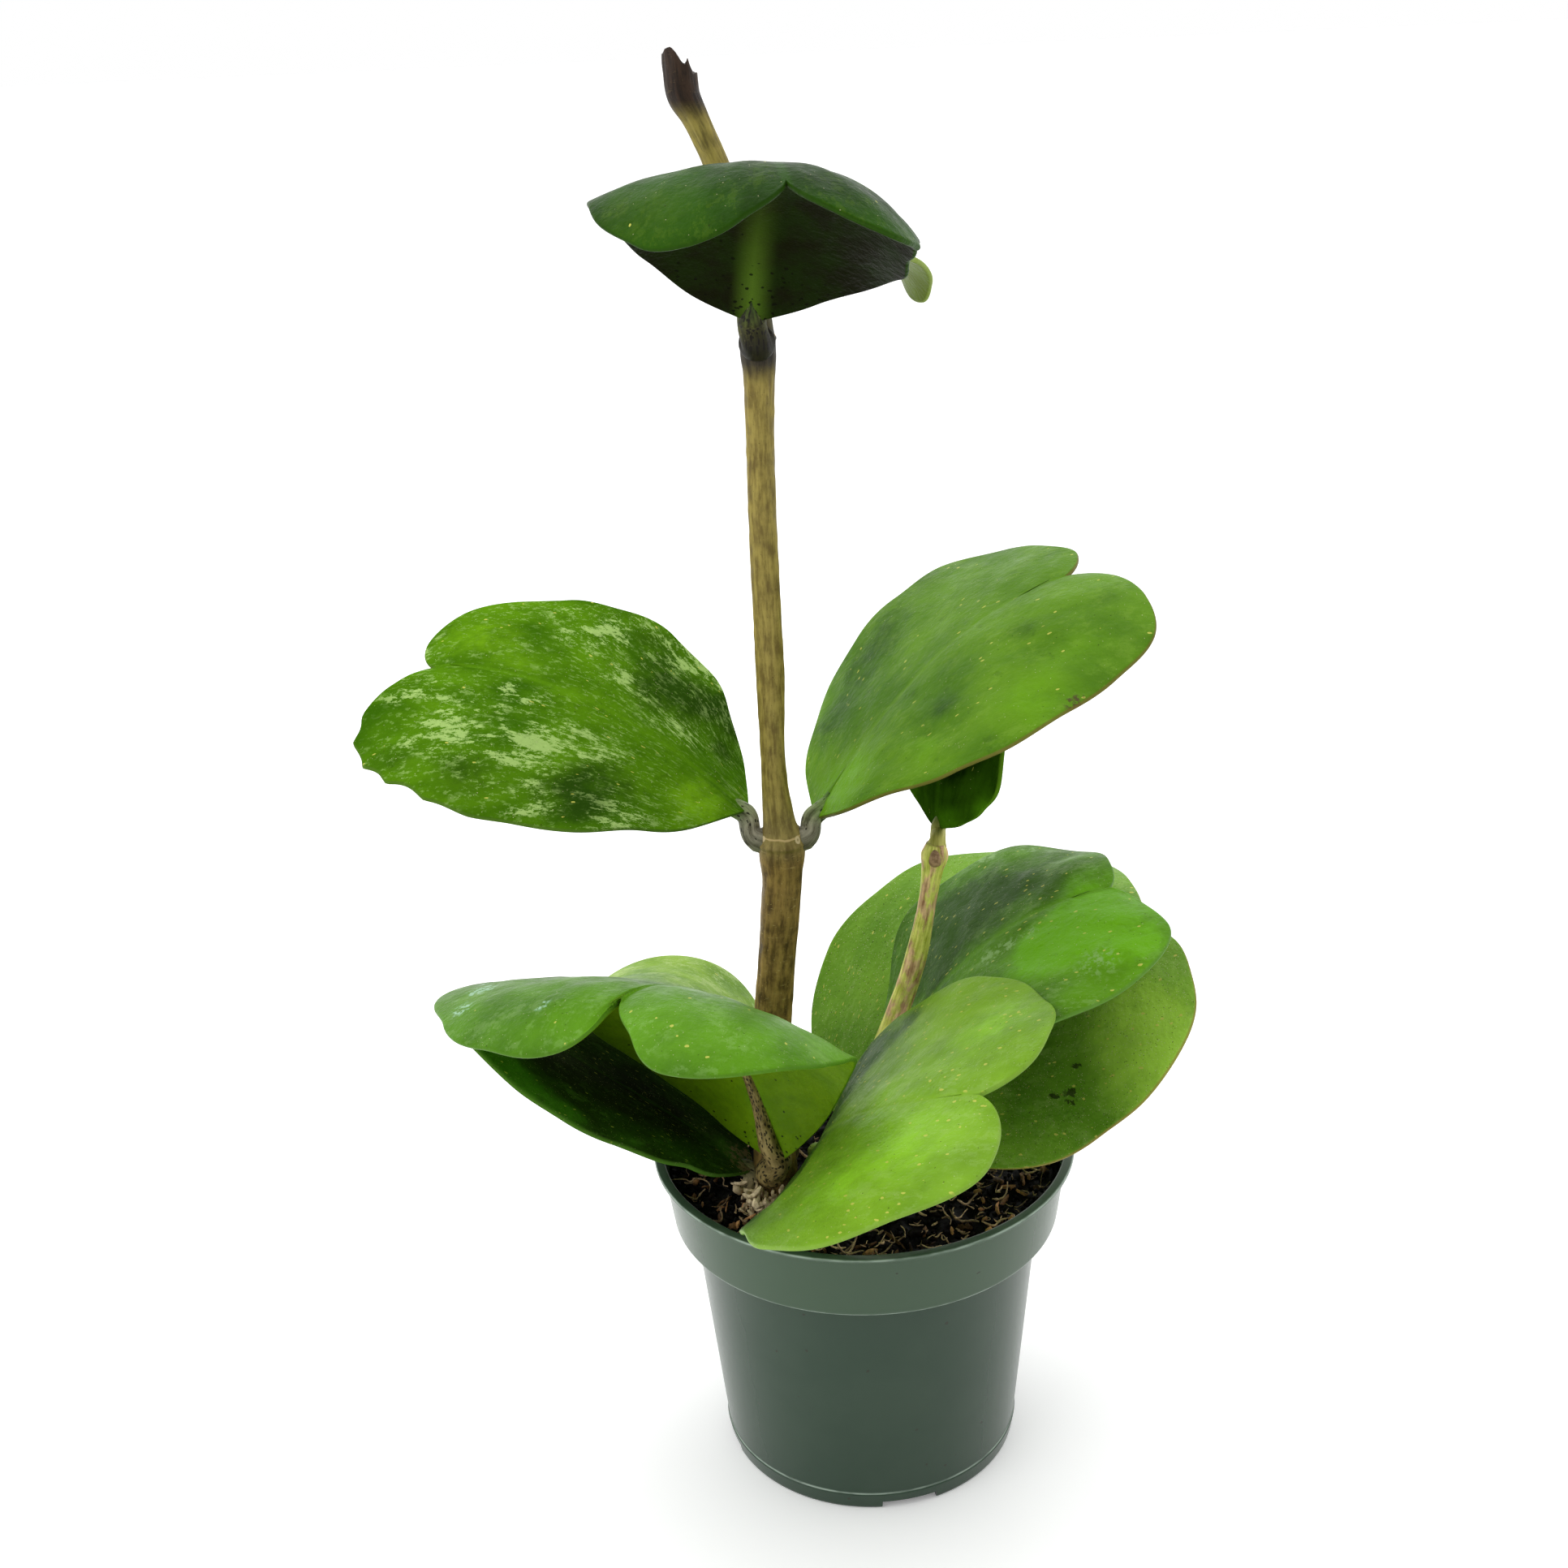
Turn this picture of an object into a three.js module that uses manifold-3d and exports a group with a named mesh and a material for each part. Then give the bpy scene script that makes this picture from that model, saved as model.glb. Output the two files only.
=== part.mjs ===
// A potted hoya plant: two leafy stems of thick heart-shaped leaves in a round plastic nursery pot.
// Millimetres, +Z up. The origin is the middle of the pot's foot, on the surface that it stands on.

import * as THREE from 'three';
import { mergeVertices } from 'three/addons/utils/BufferGeometryUtils.js';
import Module from 'manifold-3d';

const wasm = await Module();
wasm.setup();

// Driving dimensions of the pot

const SEAT_GAP = 0.35;         // clearance between pieces that touch
const POT_HEIGHT = 84;
const LIP_RADIUS = 52.5;       // a four inch pot, measured over its lip
const LIP_WIDTH = 2.5;
const LIP_THICKNESS = 1.1;
const WALL = 1;
const BAND_TOP_RADIUS = 50.6;  // the deep band under the lip
const BAND_FOOT_RADIUS = 48.3;
const BAND_FOOT_Z = 65.9;
const BODY_TOP_RADIUS = 43.6;
const BODY_FOOT_RADIUS = 37.6;
const FOOT_STEP_RADIUS = 38.1;
const FOOT_STEP_Z = 4.6;
const FOOT_RADIUS = 37.1;
const FOOT_CHAMFER = 0.6;
const LIP_CHAMFER = 0.3;
const FLOOR = 1.2;
const POT_SEGMENTS = 48;

const DRAIN_SLOTS = 4;
const DRAIN_WIDTH = 14;
const DRAIN_HEIGHT = 1.8;
const DRAIN_DEPTH = 9;         // how far a slot runs in under the floor
const DRAIN_AZIMUTH = -78;     // degrees, the slot at the front

// Driving dimensions of the soil

const SOIL_LEVEL = 77.6;
const SOIL_RIM_Z = 75.6;       // where the wall that the soil meets is measured
const SOIL_RINGS = 6;
const SOIL_SECTORS = 36;
const CHIP_COUNT = 32;
const CHIP_SEED = 11;
const CHIP_KEEP_OUT = 8;       // clear radius around each stem
const CHIP_FIELD = 42;         // radius that the flakes are strewn over
const CHIP_LENGTHS = [4, 11];
const CHIP_WIDTHS = [2, 5];
const CHIP_THICKNESSES = [1.4, 2.8];
const CHIP_TAPER = 0.55;
const CHIP_TILT = 14;          // greatest tilt, degrees
const HOLE_DEPTH = 30;         // how deep the stems stand in the soil

// Driving dimensions shared by all the leaves

const BLADE_THICKNESS = 2.2;
const BLADE_EDGE_THICKNESS = 1.1;
const BLADE_BASE_HALF_WIDTH = 1.6;
const BLADE_RINGS = [0.36, 0.66, 0.87, 1];
const STALK_SIDES = 8;
const STALK_CLEARANCE = 0.5;     // from the stem's round surface
const STALK_RIB = [[0.05, 0.95], [0.2, 0.8], [0.45, 0.5], [0.68, 0.25]];  // shares of length and radius

// Small helpers

const vector = (x, y, z) => new THREE.Vector3(x, y, z);

const radians = THREE.MathUtils.degToRad;

// A repeatable stream of numbers from 0 to 1.
function numberStream(seed) {
  let state = seed;
  return () => {
    state = (state * 1664525 + 1013904223) % 4294967296;
    return state / 4294967296;
  };
}

function toSolid(geometry) {
  geometry.deleteAttribute('normal');
  geometry.deleteAttribute('uv');
  const merged = mergeVertices(geometry, 1e-4);
  const vertProperties = new Float32Array(merged.attributes.position.array);
  const triVerts = new Uint32Array(merged.index.array);
  return new wasm.Manifold(new wasm.Mesh({ numProp: 3, vertProperties, triVerts }));
}

function toGeometry(solid) {
  const mesh = solid.getMesh();
  const geometry = new THREE.BufferGeometry();
  geometry.setAttribute('position', new THREE.BufferAttribute(mesh.vertProperties, 3));
  geometry.setIndex(new THREE.BufferAttribute(mesh.triVerts, 1));
  return geometry;
}

function indexedGeometry(points, triangles) {
  const geometry = new THREE.BufferGeometry().setFromPoints(points);
  geometry.setIndex(triangles);
  return geometry;
}

// A closed round rod on a smooth curve through the stations. Each station is [x, y, z, radius].
function rod(stations, sides, stepsPerSpan) {
  const centres = stations.map(([x, y, z]) => vector(x, y, z));
  const curve = new THREE.CatmullRomCurve3(centres, false, 'centripetal');
  const spans = stations.length - 1;
  const steps = spans * stepsPerSpan;
  const points = [];
  let side = vector(1, 0.2, 0.1);
  for (let step = 0; step <= steps; step += 1) {
    const along = step / stepsPerSpan;
    const span = Math.min(Math.floor(along), spans - 1);
    const radius = THREE.MathUtils.lerp(stations[span][3], stations[span + 1][3], along - span);
    const centre = curve.getPoint(step / steps);
    const tangent = curve.getTangent(step / steps);
    side = side.clone().addScaledVector(tangent, -side.dot(tangent)).normalize();
    const other = tangent.clone().cross(side);
    for (let k = 0; k < sides; k += 1) {
      const angle = (2 * Math.PI * k) / sides;
      const point = centre.clone().addScaledVector(side, radius * Math.cos(angle));
      points.push(point.addScaledVector(other, radius * Math.sin(angle)));
    }
  }
  const startCentre = points.push(centres[0].clone()) - 1;
  const endCentre = points.push(centres[spans].clone()) - 1;
  const triangles = [];
  for (let k = 0; k < sides; k += 1) {
    const next = (k + 1) % sides;
    for (let step = 0; step < steps; step += 1) {
      const low = step * sides;
      const high = low + sides;
      triangles.push(low + k, low + next, high + next, low + k, high + next, high + k);
    }
    triangles.push(startCentre, next, k);
    triangles.push(endCentre, steps * sides + k, steps * sides + next);
  }
  return indexedGeometry(points, triangles);
}

// The pot
//
// A thin moulded shell turned round the Z axis: foot, straight tapered body, a ledge out to the deep band,
// and a flat lip. The drain slots are cut through the corner of its wall and floor.

function makePot() {
  const bandTopZ = POT_HEIGHT - LIP_THICKNESS;
  const lipInnerRadius = LIP_RADIUS - LIP_WIDTH;
  const outline = [
    [0, 0],
    [FOOT_RADIUS - FOOT_CHAMFER, 0],
    [FOOT_RADIUS, FOOT_CHAMFER],
    [FOOT_STEP_RADIUS, FOOT_STEP_Z],
    [BODY_FOOT_RADIUS, FOOT_STEP_Z + 0.4],
    [BODY_TOP_RADIUS, BAND_FOOT_Z],
    [BAND_FOOT_RADIUS, BAND_FOOT_Z],
    [BAND_TOP_RADIUS, bandTopZ],
    [LIP_RADIUS - LIP_CHAMFER, bandTopZ],
    [LIP_RADIUS, bandTopZ + LIP_CHAMFER],
    [LIP_RADIUS - LIP_CHAMFER, POT_HEIGHT],
    [lipInnerRadius, POT_HEIGHT],
    [BAND_TOP_RADIUS - WALL, bandTopZ],
    [BAND_FOOT_RADIUS - WALL, BAND_FOOT_Z + WALL],
    [BODY_TOP_RADIUS - WALL, BAND_FOOT_Z + WALL],
    [BODY_FOOT_RADIUS - WALL, FLOOR],
    [0, FLOOR],
  ];
  const profile = outline.map(([radius, z]) => new THREE.Vector2(radius, z));
  const shell = new THREE.LatheGeometry(profile, POT_SEGMENTS);
  shell.rotateX(Math.PI / 2);
  let pot = toSolid(shell);
  for (let k = 0; k < DRAIN_SLOTS; k += 1) {
    const slot = new THREE.BoxGeometry(DRAIN_DEPTH + 5, DRAIN_WIDTH, DRAIN_HEIGHT + 1);
    slot.translate(FOOT_RADIUS + 2 - DRAIN_DEPTH / 2, 0, (DRAIN_HEIGHT - 1) / 2);
    slot.rotateZ(radians(DRAIN_AZIMUTH + (360 * k) / DRAIN_SLOTS));
    pot = pot.subtract(toSolid(slot));
  }
  return toGeometry(pot);
}

// The stems
//
// Each station is [x, y, z, radius]. The joints where leaf pairs grow are short swellings, and the buried
// ends are straight. Above its top joint the main stem is a bare stump with a torn, slanting end.

const MAIN_STEM = [
  [-22, -17.5, SOIL_LEVEL - HOLE_DEPTH, 4],
  [-22, -17.5, SOIL_LEVEL - 12, 4.6],
  [-22, -17.5, 82, 5.4],
  [-22.1, -16.4, 98, 4.7],
  [-21.3, -14.9, 122, 4.4],
  [-18.5, -13.9, 150, 4.5],
  [-17.3, -13.5, 163, 4.7],
  [-17.1, -13.5, 168.8, 5.3],
  [-17.1, -13.5, 171.5, 5],
  [-17.4, -13.5, 175, 3.9],
  [-17.8, -13.5, 180, 3.35],
  [-18, -13.5, 215, 3.1],
  [-18.1, -13.5, 250, 3],
  [-17.7, -13.5, 270, 3.1],
  [-17.5, -13.5, 277, 3.35],
  [-17.5, -13.5, 281, 3.7],
  [-17.5, -13.5, 284.5, 3.5],
  [-17.6, -13.5, 289, 2.9],
  [-19.4, -13.5, 304, 2.6],
  [-24.9, -13.5, 320.4, 2.6],
  [-28.1, -13.5, 327.9, 2.8],
  [-29.9, -13.5, 331.6, 3.3],
  [-30.4, -13.5, 336, 3.3],
  [-30.6, -13.5, 344, 3],
];
const TORN_END = { x: -31, z: 338.4, slope: 32 };  // middle of the tear, and its slant in degrees

const MAIN_STEM_SIDES = 10;
const SIDE_STEM_SIDES = 8;

const SIDE_STEM = [
  [-7.2, -6, SOIL_LEVEL - HOLE_DEPTH, 2.4],
  [-7.2, -6, SOIL_LEVEL - 12, 2.8],
  [-7.2, -6, 80, 3.1],
  [-4.8, -5.8, 89, 3.2],
  [4.5, -7.5, 111.4, 2.8],
  [13.3, -8, 137, 2.6],
  [17.6, -8, 160, 2.5],
  [18.2, -8, 164, 3.1],
  [18.4, -8, 166.4, 2.2],
];

function makeMainStem() {
  const stem = toSolid(rod(MAIN_STEM, MAIN_STEM_SIDES, 2));
  const cutter = new THREE.BoxGeometry(40, 40, 20);
  cutter.translate(0, 0, 10);
  cutter.rotateY(radians(TORN_END.slope));
  cutter.translate(TORN_END.x, MAIN_STEM[0][1], TORN_END.z);
  return toGeometry(stem.subtract(toSolid(cutter)));
}

function makeSideStem() {
  return toGeometry(toSolid(rod(SIDE_STEM, SIDE_STEM_SIDES, 2)));
}

// The room that a stem takes up: its own rod, wider and longer by the gap. It is the plain hole that the stem
// stands in, and what the leaves stay clear of.
function stemRoom(stations, sides) {
  const widened = stations.map(([x, y, z, radius]) => [x, y, z, radius + SEAT_GAP]);
  widened[0][2] -= SEAT_GAP;
  widened.at(-1)[2] += SEAT_GAP;
  return toSolid(rod(widened, sides, 2));
}

const STEM_ROOMS = [stemRoom(MAIN_STEM, MAIN_STEM_SIDES), stemRoom(SIDE_STEM, SIDE_STEM_SIDES)];

// The soil
//
// One mass of potting mix that fills the pot to its floor. Its top is a bumpy field, worked out from three
// waves, and flakes of bark lie half sunk in it.

function soilHeight(x, y) {
  const broad = 0.7 * Math.sin(x / 11 + 1) * Math.cos(y / 13 - 0.5);
  const fine = 0.35 * Math.sin(x / 3.1 + y / 4.3) + 0.25 * Math.cos(x / 2.3 - y / 2.9);
  return SOIL_LEVEL + broad + fine;
}

function makeSoilMass() {
  const wallRadius = BAND_FOOT_RADIUS - WALL - SEAT_GAP;
  const slope = (BAND_TOP_RADIUS - BAND_FOOT_RADIUS) / (POT_HEIGHT - LIP_THICKNESS - BAND_FOOT_Z);
  const topRadius = wallRadius + slope * (SOIL_RIM_Z - BAND_FOOT_Z - WALL);
  const sides = [
    [wallRadius, BAND_FOOT_Z + WALL + SEAT_GAP],
    [BODY_TOP_RADIUS - WALL - SEAT_GAP, BAND_FOOT_Z + WALL + SEAT_GAP],
    [BODY_FOOT_RADIUS - WALL - SEAT_GAP, FLOOR + SEAT_GAP],
  ];
  const points = [vector(0, 0, soilHeight(0, 0))];
  const addRing = (radius, height) => {
    for (let k = 0; k < SOIL_SECTORS; k += 1) {
      const angle = (2 * Math.PI * k) / SOIL_SECTORS;
      const x = radius * Math.cos(angle);
      const y = radius * Math.sin(angle);
      points.push(vector(x, y, height(x, y)));
    }
  };
  for (let ring = 1; ring <= SOIL_RINGS; ring += 1) {
    addRing((topRadius * ring) / SOIL_RINGS, soilHeight);
  }
  sides.forEach(([radius, z]) => addRing(radius, () => z));
  const bottom = points.push(vector(0, 0, FLOOR + SEAT_GAP)) - 1;
  const rings = SOIL_RINGS + sides.length;
  const triangles = [];
  for (let k = 0; k < SOIL_SECTORS; k += 1) {
    const next = (k + 1) % SOIL_SECTORS;
    triangles.push(0, 1 + k, 1 + next);
    for (let ring = 1; ring < rings; ring += 1) {
      const inner = 1 + (ring - 1) * SOIL_SECTORS;
      const outer = inner + SOIL_SECTORS;
      triangles.push(inner + k, outer + k, outer + next, inner + k, outer + next, inner + next);
    }
    const last = 1 + (rings - 1) * SOIL_SECTORS;
    triangles.push(last + k, bottom, last + next);
  }
  return toSolid(indexedGeometry(points, triangles));
}

// A flake of bark: a thin wedge with uneven corners.
function barkFlake(random) {
  const sizes = [CHIP_LENGTHS, CHIP_WIDTHS, CHIP_THICKNESSES].map(
    ([least, most]) => THREE.MathUtils.lerp(least, most, random()));
  const flake = new THREE.BoxGeometry(...sizes);
  const corner = flake.attributes.position;
  for (let i = 0; i < corner.count; i += 1) {
    const taper = corner.getX(i) > 0 ? CHIP_TAPER : 1;
    corner.setXYZ(i, corner.getX(i), corner.getY(i) * taper, corner.getZ(i) * taper);
  }
  flake.rotateX(radians(CHIP_TILT) * (2 * random() - 1));
  flake.rotateY(radians(CHIP_TILT) * (2 * random() - 1));
  flake.rotateZ(2 * Math.PI * random());
  return flake;
}

function makeSoil() {
  const random = numberStream(CHIP_SEED);
  let soil = makeSoilMass();
  let placed = 0;
  while (placed < CHIP_COUNT) {
    const radius = CHIP_FIELD * Math.sqrt(random());
    const angle = 2 * Math.PI * random();
    const flake = barkFlake(random);
    const x = radius * Math.cos(angle);
    const y = radius * Math.sin(angle);
    const nearStem = [MAIN_STEM[0], SIDE_STEM[0]].some(
      (foot) => Math.hypot(x - foot[0], y - foot[1]) < CHIP_KEEP_OUT);
    if (!nearStem) {
      flake.translate(x, y, soilHeight(x, y) + 0.1);
      soil = soil.add(toSolid(flake));
      placed += 1;
    }
  }
  STEM_ROOMS.forEach((room) => {
    soil = soil.subtract(room);
  });
  return toGeometry(soil);
}

// The leaves
//
// A leaf starts flat: x runs to the right of its midrib, and y along it from the stalk to the notch. Its
// outline is three Bezier curves a side, moved out or in by nine small offsets a side. Then it is bent. The
// midrib sets off at an azimuth and a rise, with the blade rolled round it, and along its length it curls
// down, sways and twists. Each half blade is rolled across into an arc, up or down, by the cup angles [left
// base, left tip, right base, right tip]. The margin is waved. Angles are degrees.

const LEAVES = [
  {
    name: 'leaf_top_front',
    base: [-18.5, -19.5, 289],
    azimuth: -85, rise: 54, roll: 12,
    curl: 104, curlPower: 1.9, sway: -16, twist: -5,
    cup: [-11, -86, -23, -38],
    length: 82, width: 70.5, notch: 0.15, shoulder: 0.60, lopsided: -0.02, fullness: 1,
    rightMargin: [1, 0, -1.5, -1.5, -1.5, -0.5, -1.5, -3.5, -3],
    leftMargin: [1, 2, 1, -3, -5, -5, -2, -1.5, -1.5],
    wave: { height: 0.6, count: 5, phase: 0 },
    stalk: { stem: MAIN_STEM, z: 283.5, azimuth: -92, radius: 2.2 },
    color: 0x1e3814,
  },
  {
    name: 'leaf_top_back',
    base: [-17.5, -6.5, 288.5],
    azimuth: 86, rise: 34, roll: 10,
    curl: 75, curlPower: 1.5, sway: 18, twist: -26,
    cup: [18, -19, 11, -79],
    length: 77, width: 75.5, notch: 0.12, shoulder: 0.62, lopsided: -0.03, fullness: 0.9,
    rightMargin: [-0, -0.5, -1, -1.5, -1, 0.5, 0.5, 0.5, 0],
    leftMargin: [-0, -0, -0, -0, 0, 0, 0, 0, 0],
    wave: { height: 0.6, count: 4, phase: 1 },
    stalk: { stem: MAIN_STEM, z: 284.5, azimuth: 85, radius: 2 },
    color: 0x55751f,
  },
  {
    name: 'leaf_mid_left',
    base: [-25.5, -9.5, 177],
    azimuth: 167, rise: 42, roll: 9,
    curl: 53, curlPower: 1.4, sway: 1, twist: 0,
    cup: [-11, -15, 2, -4],
    length: 91, width: 96.5, notch: 0.10, shoulder: 0.61, lopsided: 0, fullness: 1,
    rightMargin: [1, -1.5, 0.5, -0.5, -4.5, -1, 0.5, -1, 1.5],
    leftMargin: [-0, -0.5, 1, -0.5, 2, 1, -0.5, -3, -3.5],
    wave: { height: 1.2, count: 7, phase: 0.6 },
    stalk: { stem: MAIN_STEM, z: 169.5, azimuth: 172, radius: 2 },
    color: 0x44692b,
  },
  {
    name: 'leaf_mid_right',
    base: [-9.5, -10, 175.5],
    azimuth: 25, rise: 49, roll: 10.5,
    curl: 40.5, curlPower: 1.7, sway: 3, twist: 0,
    cup: [6, 1, -6, -34],
    length: 90, width: 95.5, notch: 0.10, shoulder: 0.61, lopsided: -0.01, fullness: 1,
    rightMargin: [1, -0.5, 0, 2, 0.5, 0.5, 2, -0.5, -0],
    leftMargin: [0.5, -1.5, 0, -2.5, -2.5, 3, -0, -2.5, 1],
    wave: { height: 0.9, count: 6, phase: 2 },
    stalk: { stem: MAIN_STEM, z: 169.5, azimuth: 8, radius: 2 },
    color: 0x3d6b1f,
  },
  {
    name: 'leaf_side_tip',
    base: [19.5, -2.5, 168],
    azimuth: 68, rise: 81, roll: 38,
    curl: 109, curlPower: 1.6, sway: -3, twist: 20,
    cup: [9, 15, 8, 31],
    length: 58, width: 59.5, notch: 0.12, shoulder: 0.60, lopsided: 0, fullness: 1.1,
    rightMargin: [1, 2, 4, 1, 0, -0, -0, -0, 0],
    leftMargin: [-1, -1.5, -1, -0.5, -0, 0, 0, 0, -0],
    wave: { height: 0.5, count: 4, phase: 0 },
    stalk: { stem: SIDE_STEM, z: 162.5, azimuth: 35, radius: 1.8 },
    color: 0x2f5220,
  },
  {
    name: 'leaf_left_arched',
    base: [-21, -24.5, 94.5],
    azimuth: -164, rise: 78, roll: -40,
    curl: 105, curlPower: 1.7, sway: -5, twist: 1,
    cup: [-15, -26, -14, -11],
    length: 103, width: 92, notch: 0.19, shoulder: 0.67, lopsided: -0.03, fullness: 0.8,
    rightMargin: [1.5, 3.5, 2.5, 1, 5, 8.5, 3.5, 3.5, 8],
    leftMargin: [0, -0.5, -0.5, 0, 0.5, 1.5, 1.5, 1.5, -2.5],
    wave: { height: 1.0, count: 6, phase: 1 },
    stalk: { stem: MAIN_STEM, z: 84, azimuth: -108, radius: 2.5 },
    color: 0x4a7a2a,
  },
  {
    name: 'leaf_left_low',
    base: [-28, -17.5, 87],
    azimuth: 167, rise: 34, roll: -14,
    curl: 4, curlPower: 1.5, sway: -10, twist: -18,
    cup: [9, -21, 2, 1],
    length: 83.5, width: 91.5, notch: 0.09, shoulder: 0.63, lopsided: -0.02, fullness: 1,
    rightMargin: [0.5, 1, -3.5, -2.5, 0, 0.5, -1.5, -4.5, -3],
    leftMargin: [-1, -1, 1.5, -1, -1, 1, 0.5, 0, 0],
    wave: { height: 0.9, count: 5, phase: 2 },
    stalk: { stem: MAIN_STEM, z: 81.5, azimuth: 190, radius: 2.2 },
    color: 0x1d3d14,
  },
  {
    name: 'leaf_left_back',
    base: [-18.5, -5, 87],
    azimuth: 126, rise: 45.5, roll: -44,
    curl: 106, curlPower: 2, sway: -2.5, twist: 2.5,
    cup: [23, -15, -6, 33],
    length: 81, width: 77, notch: 0.12, shoulder: 0.63, lopsided: 0, fullness: 0.9,
    rightMargin: [0, 0, 0, 0, 0.5, 0, 0, 0, 0],
    leftMargin: [0, 0, 0, 0, 0, 0, 0, 0, 0],
    wave: { height: 0.7, count: 5, phase: 0 },
    stalk: { stem: MAIN_STEM, z: 83.5, azimuth: 75, radius: 2 },
    color: 0x4f7434,
  },
  {
    name: 'leaf_right_front',
    base: [6, -2, 106.5],
    azimuth: -11.5, rise: 57.5, roll: -20,
    curl: 56, curlPower: 1.6, sway: -3.5, twist: 8,
    cup: [19, -31, 18, -8],
    length: 78.5, width: 85, notch: 0.08, shoulder: 0.60, lopsided: 0.01, fullness: 1.1,
    rightMargin: [0, 0, -0.5, -0.5, -0.5, 0.5, 0, 0, -0.5],
    leftMargin: [0, 0, 0, -1, -1, 0, -0.5, -2, -1.5],
    wave: { height: 0.9, count: 7, phase: 1 },
    stalk: { stem: SIDE_STEM, z: 104.5, azimuth: 50, radius: 2 },
    color: 0x2c5526,
  },
  {
    name: 'leaf_right_back',
    base: [-4.5, 0.5, 86],
    azimuth: 18, rise: 49, roll: -16,
    curl: 40, curlPower: 1.5, sway: 23, twist: 11,
    cup: [17, -20, -9, -20],
    length: 96.5, width: 107.5, notch: 0.05, shoulder: 0.60, lopsided: -0.01, fullness: 1.1,
    rightMargin: [-0, -0.5, -0.5, -0.5, -0.5, 0.5, -0, 0.5, 2],
    leftMargin: [1.5, 2, 1, -0.5, 2.5, 0.5, -0.5, -0.5, -0],
    wave: { height: 0.9, count: 6, phase: 0 },
    stalk: { stem: SIDE_STEM, z: 86, azimuth: 85, radius: 2.2 },
    color: 0x2f5a22,
  },
  {
    name: 'leaf_front',
    base: [-12, -13, 88.5],
    azimuth: -87, rise: 39, roll: -63,
    curl: 54, curlPower: 1.5, sway: -19, twist: 30,
    cup: [7, -21, 45, -7],
    length: 98.5, width: 86, notch: 0.10, shoulder: 0.61, lopsided: 0.01, fullness: 0.9,
    rightMargin: [0, -1, -2.5, -4, -1, 1, -1, -0.5, 0],
    leftMargin: [-1.5, -4, 0.5, 1, 1, 3, 1.5, 1, 2.5],
    wave: { height: 0.9, count: 6, phase: 2.5 },
    stalk: { stem: SIDE_STEM, z: 84, azimuth: -125, radius: 2.2 },
    color: 0x6f9f2c,
  },
];

const MIDRIB_STEPS = 48;
const MIDRIB_REACH = 1.15;      // the lobes pass the end of the midrib

function halfOutline(leaf, side) {
  const half = leaf.width / 2;
  const length = leaf.length;
  const shoulder = leaf.shoulder * length;
  const pieces = [
    [[BLADE_BASE_HALF_WIDTH, 0], [0.5 * leaf.fullness * half, (0.16 - 0.06 * leaf.fullness) * length],
      [half, shoulder - 0.3 * leaf.fullness * length], [half, shoulder], 8],
    [[half, shoulder], [half, shoulder + 0.2 * length], [0.8 * half, length], [0.5 * half, length], 4],
    [[0.5 * half, length], [0.22 * half, length], [0.05 * half, (1 - 0.45 * leaf.notch) * length],
      [0, (1 - leaf.notch) * length], 4],
  ];
  const points = [];
  pieces.forEach(([start, startPull, endPull, end, count]) => {
    const ends = [start, startPull, endPull, end].map(([x, y]) => new THREE.Vector2(x, y));
    const curve = new THREE.CubicBezierCurve(...ends);
    points.push(...curve.getPoints(count).slice(0, count));
  });
  points.push(new THREE.Vector2(0, (1 - leaf.notch) * length));
  points.forEach((point) => {
    point.y *= 1 + (side * leaf.lopsided * point.x) / half;
  });
  const shifts = marginShifts(points, side > 0 ? leaf.rightMargin : leaf.leftMargin);
  return points.map((point, k) => new THREE.Vector2(side * (point.x + shifts[k].x), point.y + shifts[k].y));
}

// How far each point of a half outline moves, square to it, to make its margin as uneven as the real one.
// The offsets are given at even shares of the outline's length, and are nothing at both its ends.
function marginShifts(points, offsets) {
  const stations = [0, ...offsets, 0];
  const lengths = [0];
  points.slice(1).forEach((point, k) => lengths.push(lengths[k] + point.distanceTo(points[k])));
  return points.map((point, k) => {
    const place = (lengths[k] / lengths.at(-1)) * (stations.length - 1);
    const i = Math.min(Math.floor(place), stations.length - 2);
    const share = THREE.MathUtils.smoothstep(place - i, 0, 1);
    const before = points[Math.max(k - 1, 0)];
    const after = points[Math.min(k + 1, points.length - 1)];
    const outward = new THREE.Vector2(after.y - before.y, before.x - after.x).normalize();
    return outward.multiplyScalar(THREE.MathUtils.lerp(stations[i], stations[i + 1], share));
  });
}

function leafOutline(leaf) {
  return [...halfOutline(leaf, 1), ...halfOutline(leaf, -1).slice(0, -1).reverse()];
}

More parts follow.
